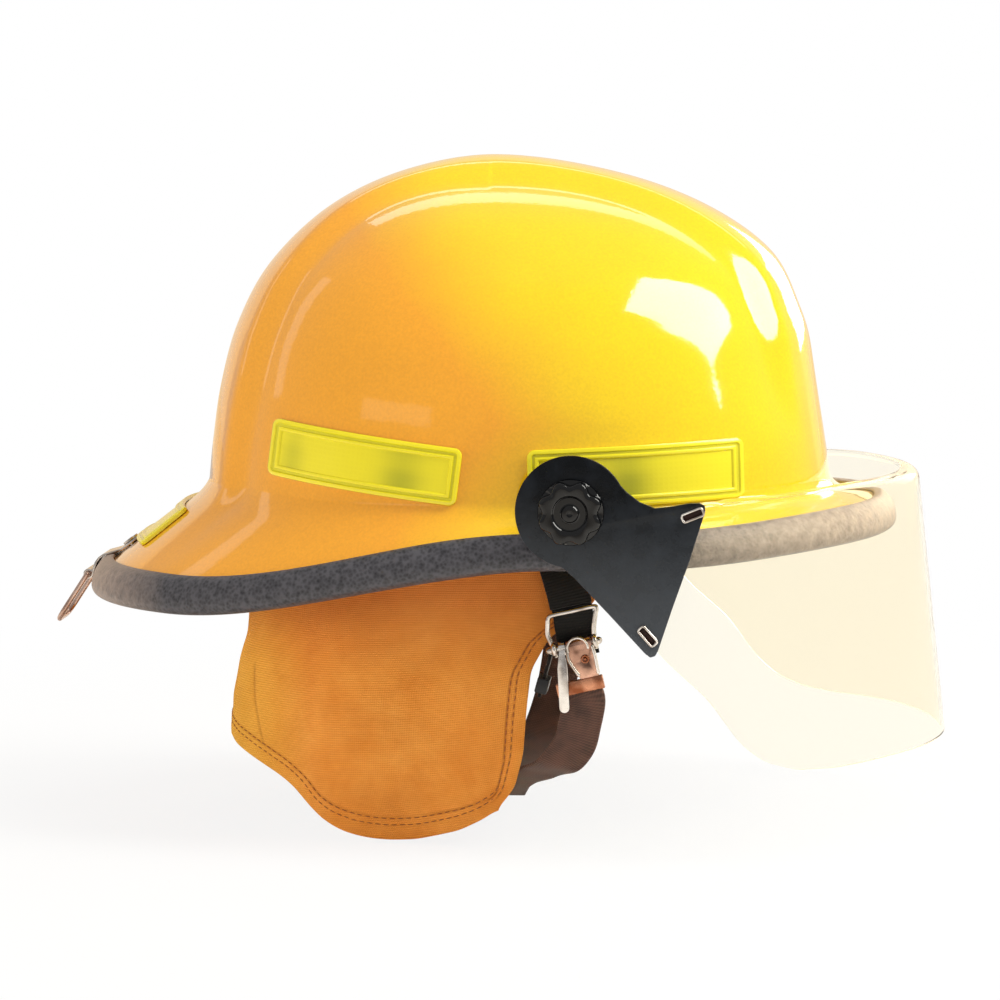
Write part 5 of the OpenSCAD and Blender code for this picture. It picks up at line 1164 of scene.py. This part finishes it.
# buckle: formed wire bail with its eyes, riveted pin, and the plate's rolled edges, rivet and hinge hoop
bail = {"wire": 1.05, "low": -14, "half": 10, "corner": 1.4, "eyes": (-10.6, 6.4), "eyeR": 2.3,
    "left": [[-11.2, 0, -11.7], [-12, 0, -7.5], [-11, 0, -3], [-10.35, 0, -1.12]],
    "right": [[9.75, 0, -1.12], [8.8, 0, -3.5], [7.2, 0, -8], [6.4, 0, -11.7]],
    "pinFrom": -12.4, "pinTo": 7.5, "pinR": 1.2, "headR": 1.6, "hoopR": 4.2, "hoopU": -1.0,
    "edges": [[[5, -2.6, -15.5], [5.2, -2.8, -20], [5, -2.8, -26.5]],
        [[-5.5, -2.6, -15.5], [-5.5, -2.8, -19.5], [-3.0, -2.8, -26]]],
    "rivet": (1, -20), "rivetR": 1.35,
    "fold": [[0, 0.5, 2.2], [0, 1.9, 1.2], [-0.1, 2.3, -1.5], [-0.6, 3.0, -6], [-1.0, 4.2, -11],
        [-1.3, 4.5, -15], [-1.5, 4.5, -19]]}


def facing(x, y, z, r, start=0, end=360, count=40):  # an arc that faces the wearer's right
    c, s = trig(np.linspace(start, end, count, endpoint=end - start != 360))
    return np.stack([x + r*c, y + 0*c, z + r*s], 1)


def makeBuckle(v):
    low, near = v["low"], v["half"] - v["corner"]
    line = v["left"] + [[-near, 0, 0], [0, 0, 0], [near, 0, 0]] + v["right"]
    c, s = trig(around(40))
    eyes = [np.stack([u + 0*c, v["eyeR"]*c, low + v["eyeR"]*s], 1) for u in v["eyes"]]
    piece = wireMesh("buckleBail",
        [(bandPath(line, 120), v["wire"], False)] + [(eye, v["wire"], True) for eye in eyes])
    placePiece(piece, nickelSteel, "buckle_loop", 60)
    pin = [[u, 0, low] for u in np.linspace(v["pinFrom"], v["pinTo"], 12)]
    heads = [[[u + d, 0, low] for d in (-0.3, 0, 0.3)] for u in (v["pinFrom"], v["pinTo"])]
    piece = wireMesh("bucklePin", [(pin, v["pinR"], False)] + [(head, v["headR"], False) for head in heads])
    placePiece(piece, nickelSteel, "buckle_pin", 60)
    hoop = facing(v["hoopU"], -3.0, low - 1, v["hoopR"], 190, -10, 36)
    piece = wireMesh("buckleEdges",
        [(bandPath(edge, 30), 0.75, False) for edge in v["edges"]] + [(hoop, 0.6, False)])
    dressing(piece, nickelSteel, "buckle_plate", 60)
    x, z = v["rivet"]
    piece = wireMesh("buckleRivet", [(facing(x, -2.9, z, v["rivetR"]), 0.5, True),
        ([[x, y, z] for y in (-2.6, -2, -1.6)], 0.85, False)])
    dressing(piece, copperSteel, "buckle_plate", 60)
    c, s = trig(buckle["tilt"])
    piece = bandMesh("chinWebbingFold", inBuckle(bandPath(v["fold"], 60)), 16.6, 1.4, [c, 0, s])
    dressing(piece, upperWebbing, "chin_strap_upper", 60)


makeBuckle(bail)
print("clips and buckle made")


# hard parts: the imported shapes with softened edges
def softenedNode(node, finish, width, segments):
    piece = newObject(node + "_finished", frame["nodes"][node].data.copy())
    bm = bmesh.new()
    bm.from_mesh(piece.data)
    bmesh.ops.remove_doubles(bm, verts=bm.verts, dist=2e-6)
    bmesh.ops.dissolve_limit(bm, angle_limit=math.radians(0.6), verts=bm.verts, edges=bm.edges)
    bm.to_mesh(piece.data)
    bm.free()
    piece.data.validate()
    if "custom_normal" in piece.data.attributes:
        piece.data.attributes.remove(piece.data.attributes["custom_normal"])
    roundEdges(piece, width, segments, 32)
    placePiece(piece, finish, node, 35)


hardParts = [  # finish, width of the rounding, its segments, nodes
    (bracketNylon, 0.7, 3, "bracket_right bracket_left"), (plateSteel, 0.25, 2, "buckle_plate"),
    (nickelSteel, 0.5, 3, "buckle_lever"), (copperSteel, 0.6, 3, "buckle_bar"),
    (suspensionNylon, 0.4, 2, "strap_slide"), (nickelSteel, 0.2, 2, "chin_tab_right chin_tab_left"),
    (nickelSteel, 0.25, 2, "hanger_tab"), (nickelSteel, 0.35, 3, "hanger_rivets"),
    (suspensionNylon, 0.5, 3, "ratchet_knob"), (suspensionNylon, 0.8, 3, "ratchet_housing"),
    (suspensionNylon, 0.5, 3, "ratchet_cover"), (suspensionNylon, 0.35, 2, "headband"),
    (suspensionNylon, 0.3, 2, "headband_hangers"),
    (suspensionNylon, 0.5, 2, "crown_strap_keys suspension_ring")]
for finish, width, segments, nodes in hardParts:
    for node in nodes.split():
        softenedNode(node, finish, width, segments)
print("hard parts softened")

plainParts = [(ringSteel, "hanger_ring"),
    (nickelSteel, "protector_snaps chin_anchor_right chin_anchor_left ratchet_pinion"),
    (nickelSteel, "pivot_bolt_right pivot_bolt_left pivot_nut_right pivot_nut_left"),
    (bracketNylon, "pivot_spacer_right pivot_spacer_left pivot_washer_right pivot_washer_left")]
for finish, nodes in plainParts:
    for node in nodes.split():
        part = frame["nodes"][node]
        part.data.materials.clear()
        part.data.materials.append(finish)

# floor, lights and world; a lamp has its place, aim, the way of its first side, both sides, power, colour and
# the rays that find it
stageLook = {"floor": "#F4F4F2", "paper": "#F8F8F7", "floorHalf": 6000, "gap": 1.5, "whiteFrom": 0.2,
    "whiteTo": 0.7, "underShadow": 0.86, "ambient": "#FFF1E2", "world": 0.4, "shine": 0.42,
    "lamps": {
        "keyBox": ((1.45, -0.33, 1.4), (0.03, 0, 0.05), (1.03, 0.5, -0.9), (1.45, 0.85), 38, "#FFFDF6",
            "all"),
        "spotBox": ((-1.06, -1.66, 0.68), (-0.04, -0.1, 0.06), (1, -0.6, 0), (1.05, 0.2), 0.45, "#FFF2E0",
            "all"),
        "backBox": ((-0.1, 2.0, 0.45), (-0.03, 0, 0.06), (1, 0, 0), (3.4, 1.7), 8.5, "#FFCB70", "shine"),
        "topBox": ((0.45, -0.1, 1.95), (0.02, 0, 0.1), (1, 0, 0), (1.3, 1.0), 10, "#FFFFFF", "matt"),
        "rearBox": ((-1.9, -0.75, 0.15), (-0.05, 0, 0), (0, 1, 0), (1.0, 0.8), 16, "#FFF6E8", "matt"),
        "bandBox": ((0.1, 1.25, 1.62), (0, -0.04, 0.14), (1, 0, 0), (2.2, 0.3), 2.6, "#FFFFFF", "shine"),
        "bandBoxRear": ((-1.75, 0.5, 0.95), (-0.08, -0.07, 0.09), (-0.45, -0.3, -1.1), (1.2, 0.25), 0.52,
            "#FFFFFF", "shine"),
        "rimBox": ((0.9, 1.75, 0.5), (0.05, 0, 0.08), (0.9, -0.45, 0), (0.8, 0.7), 6, "#FFFFFF", "all")}}


def makeFloor(look):
    finish, tree, at = newFinish("paleFloor", "Object")
    grain = addNode(tree, "TexNoise", {"Vector": at, "Scale": 8, "Detail": 2})
    colour = addNode(tree, "ValToRGB", {0: grain}, stops=[(0.3, look["floor"]), (0.7, look["paper"])])
    setShader(finish, {"Roughness": 0.9, "Specular IOR Level": 0.1, "Base Color": colour})
    rays = addNode(tree, "LightPath").node.outputs
    glow = addNode(tree, "Emission", {"Color": "#FFFFFF", "Strength": 1.0})
    away = addNode(tree, "VectorMath", {0: at}, "Value", operation="LENGTH")
    white = addNode(tree, "MapRange", {"Value": away, "From Min": look["whiteFrom"],  # away from the shadow
        "From Max": look["whiteTo"], "To Min": look["underShadow"]}, interpolation_type="SMOOTHSTEP")
    share = addNode(tree, "Math", {0: rays["Is Camera Ray"], 1: white}, operation="MULTIPLY")
    seen = addNode(tree, "Math", {0: share, 1: rays["Is Transmission Ray"]}, operation="MAXIMUM")
    matt = tree.nodes["Principled BSDF"].outputs[0]
    both = addNode(tree, "MixShader", {0: seen, 1: matt, 2: glow})
    setInputs(tree.nodes["Material Output"], {"Surface": both})
    half, low = look["floorHalf"], min(p[2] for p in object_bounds())/mm - look["gap"]
    corners = [(-half, -half, low), (half, -half, low), (half, half, low), (-half, half, low)]
    floor = makeMesh("floor", corners, [(0, 1, 2, 3)])
    floor.data.materials.append(finish)
    floor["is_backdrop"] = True


def makeWorld(look):
    world = bpy.data.worlds.new("studio")
    bpy.context.scene.world = world
    world.use_nodes = True
    tree = world.node_tree
    tree.nodes.clear()
    rays = addNode(tree, "LightPath").node.outputs
    direct, through, glossy = (rays["Is %s Ray" % kind] for kind in ("Camera", "Transmission", "Glossy"))
    clear = addNode(tree, "Math", {0: direct, 1: through}, operation="MAXIMUM")
    shine = addNode(tree, "Math", {0: glossy, 1: look["shine"]}, operation="MULTIPLY")
    most = addNode(tree, "Math", {0: clear, 1: shine}, operation="MAXIMUM")
    strength = addNode(tree, "Math", {0: most, 1: look["world"]}, operation="MAXIMUM")
    plain = addNode(tree, "Math", {0: clear, 1: glossy}, operation="MAXIMUM")
    colour = addNode(tree, "Mix", {0: plain, 6: look["ambient"], 7: "#FFFFFF"}, 2, **colours)
    sky = addNode(tree, "Background", {"Color": colour, "Strength": strength})
    addNode(tree, "OutputWorld", {"Surface": sky})


def makeLamp(name, place, aim, along, sizes, power, colour, seen):
    data = bpy.data.lights.new(name, "AREA")
    data.shape = "RECTANGLE"
    data.size, data.size_y = sizes
    data.energy, data.color = power, linear(colour)[:3]
    lamp = newObject(name, data)
    back = (Vector(place) - Vector(aim)).normalized()
    side = (Vector(along) - Vector(along).dot(back)*back).normalized()
    lamp.location = place
    lamp.rotation_euler = Matrix((side, back.cross(side), back)).transposed().to_euler()
    lamp.visible_glossy, lamp.visible_diffuse = seen != "matt", seen != "shine"


makeFloor(stageLook)
makeWorld(stageLook)
for name, values in stageLook["lamps"].items():
    makeLamp(name, *values)
bpy.context.scene.view_settings.view_transform = "Standard"
print("stage made")
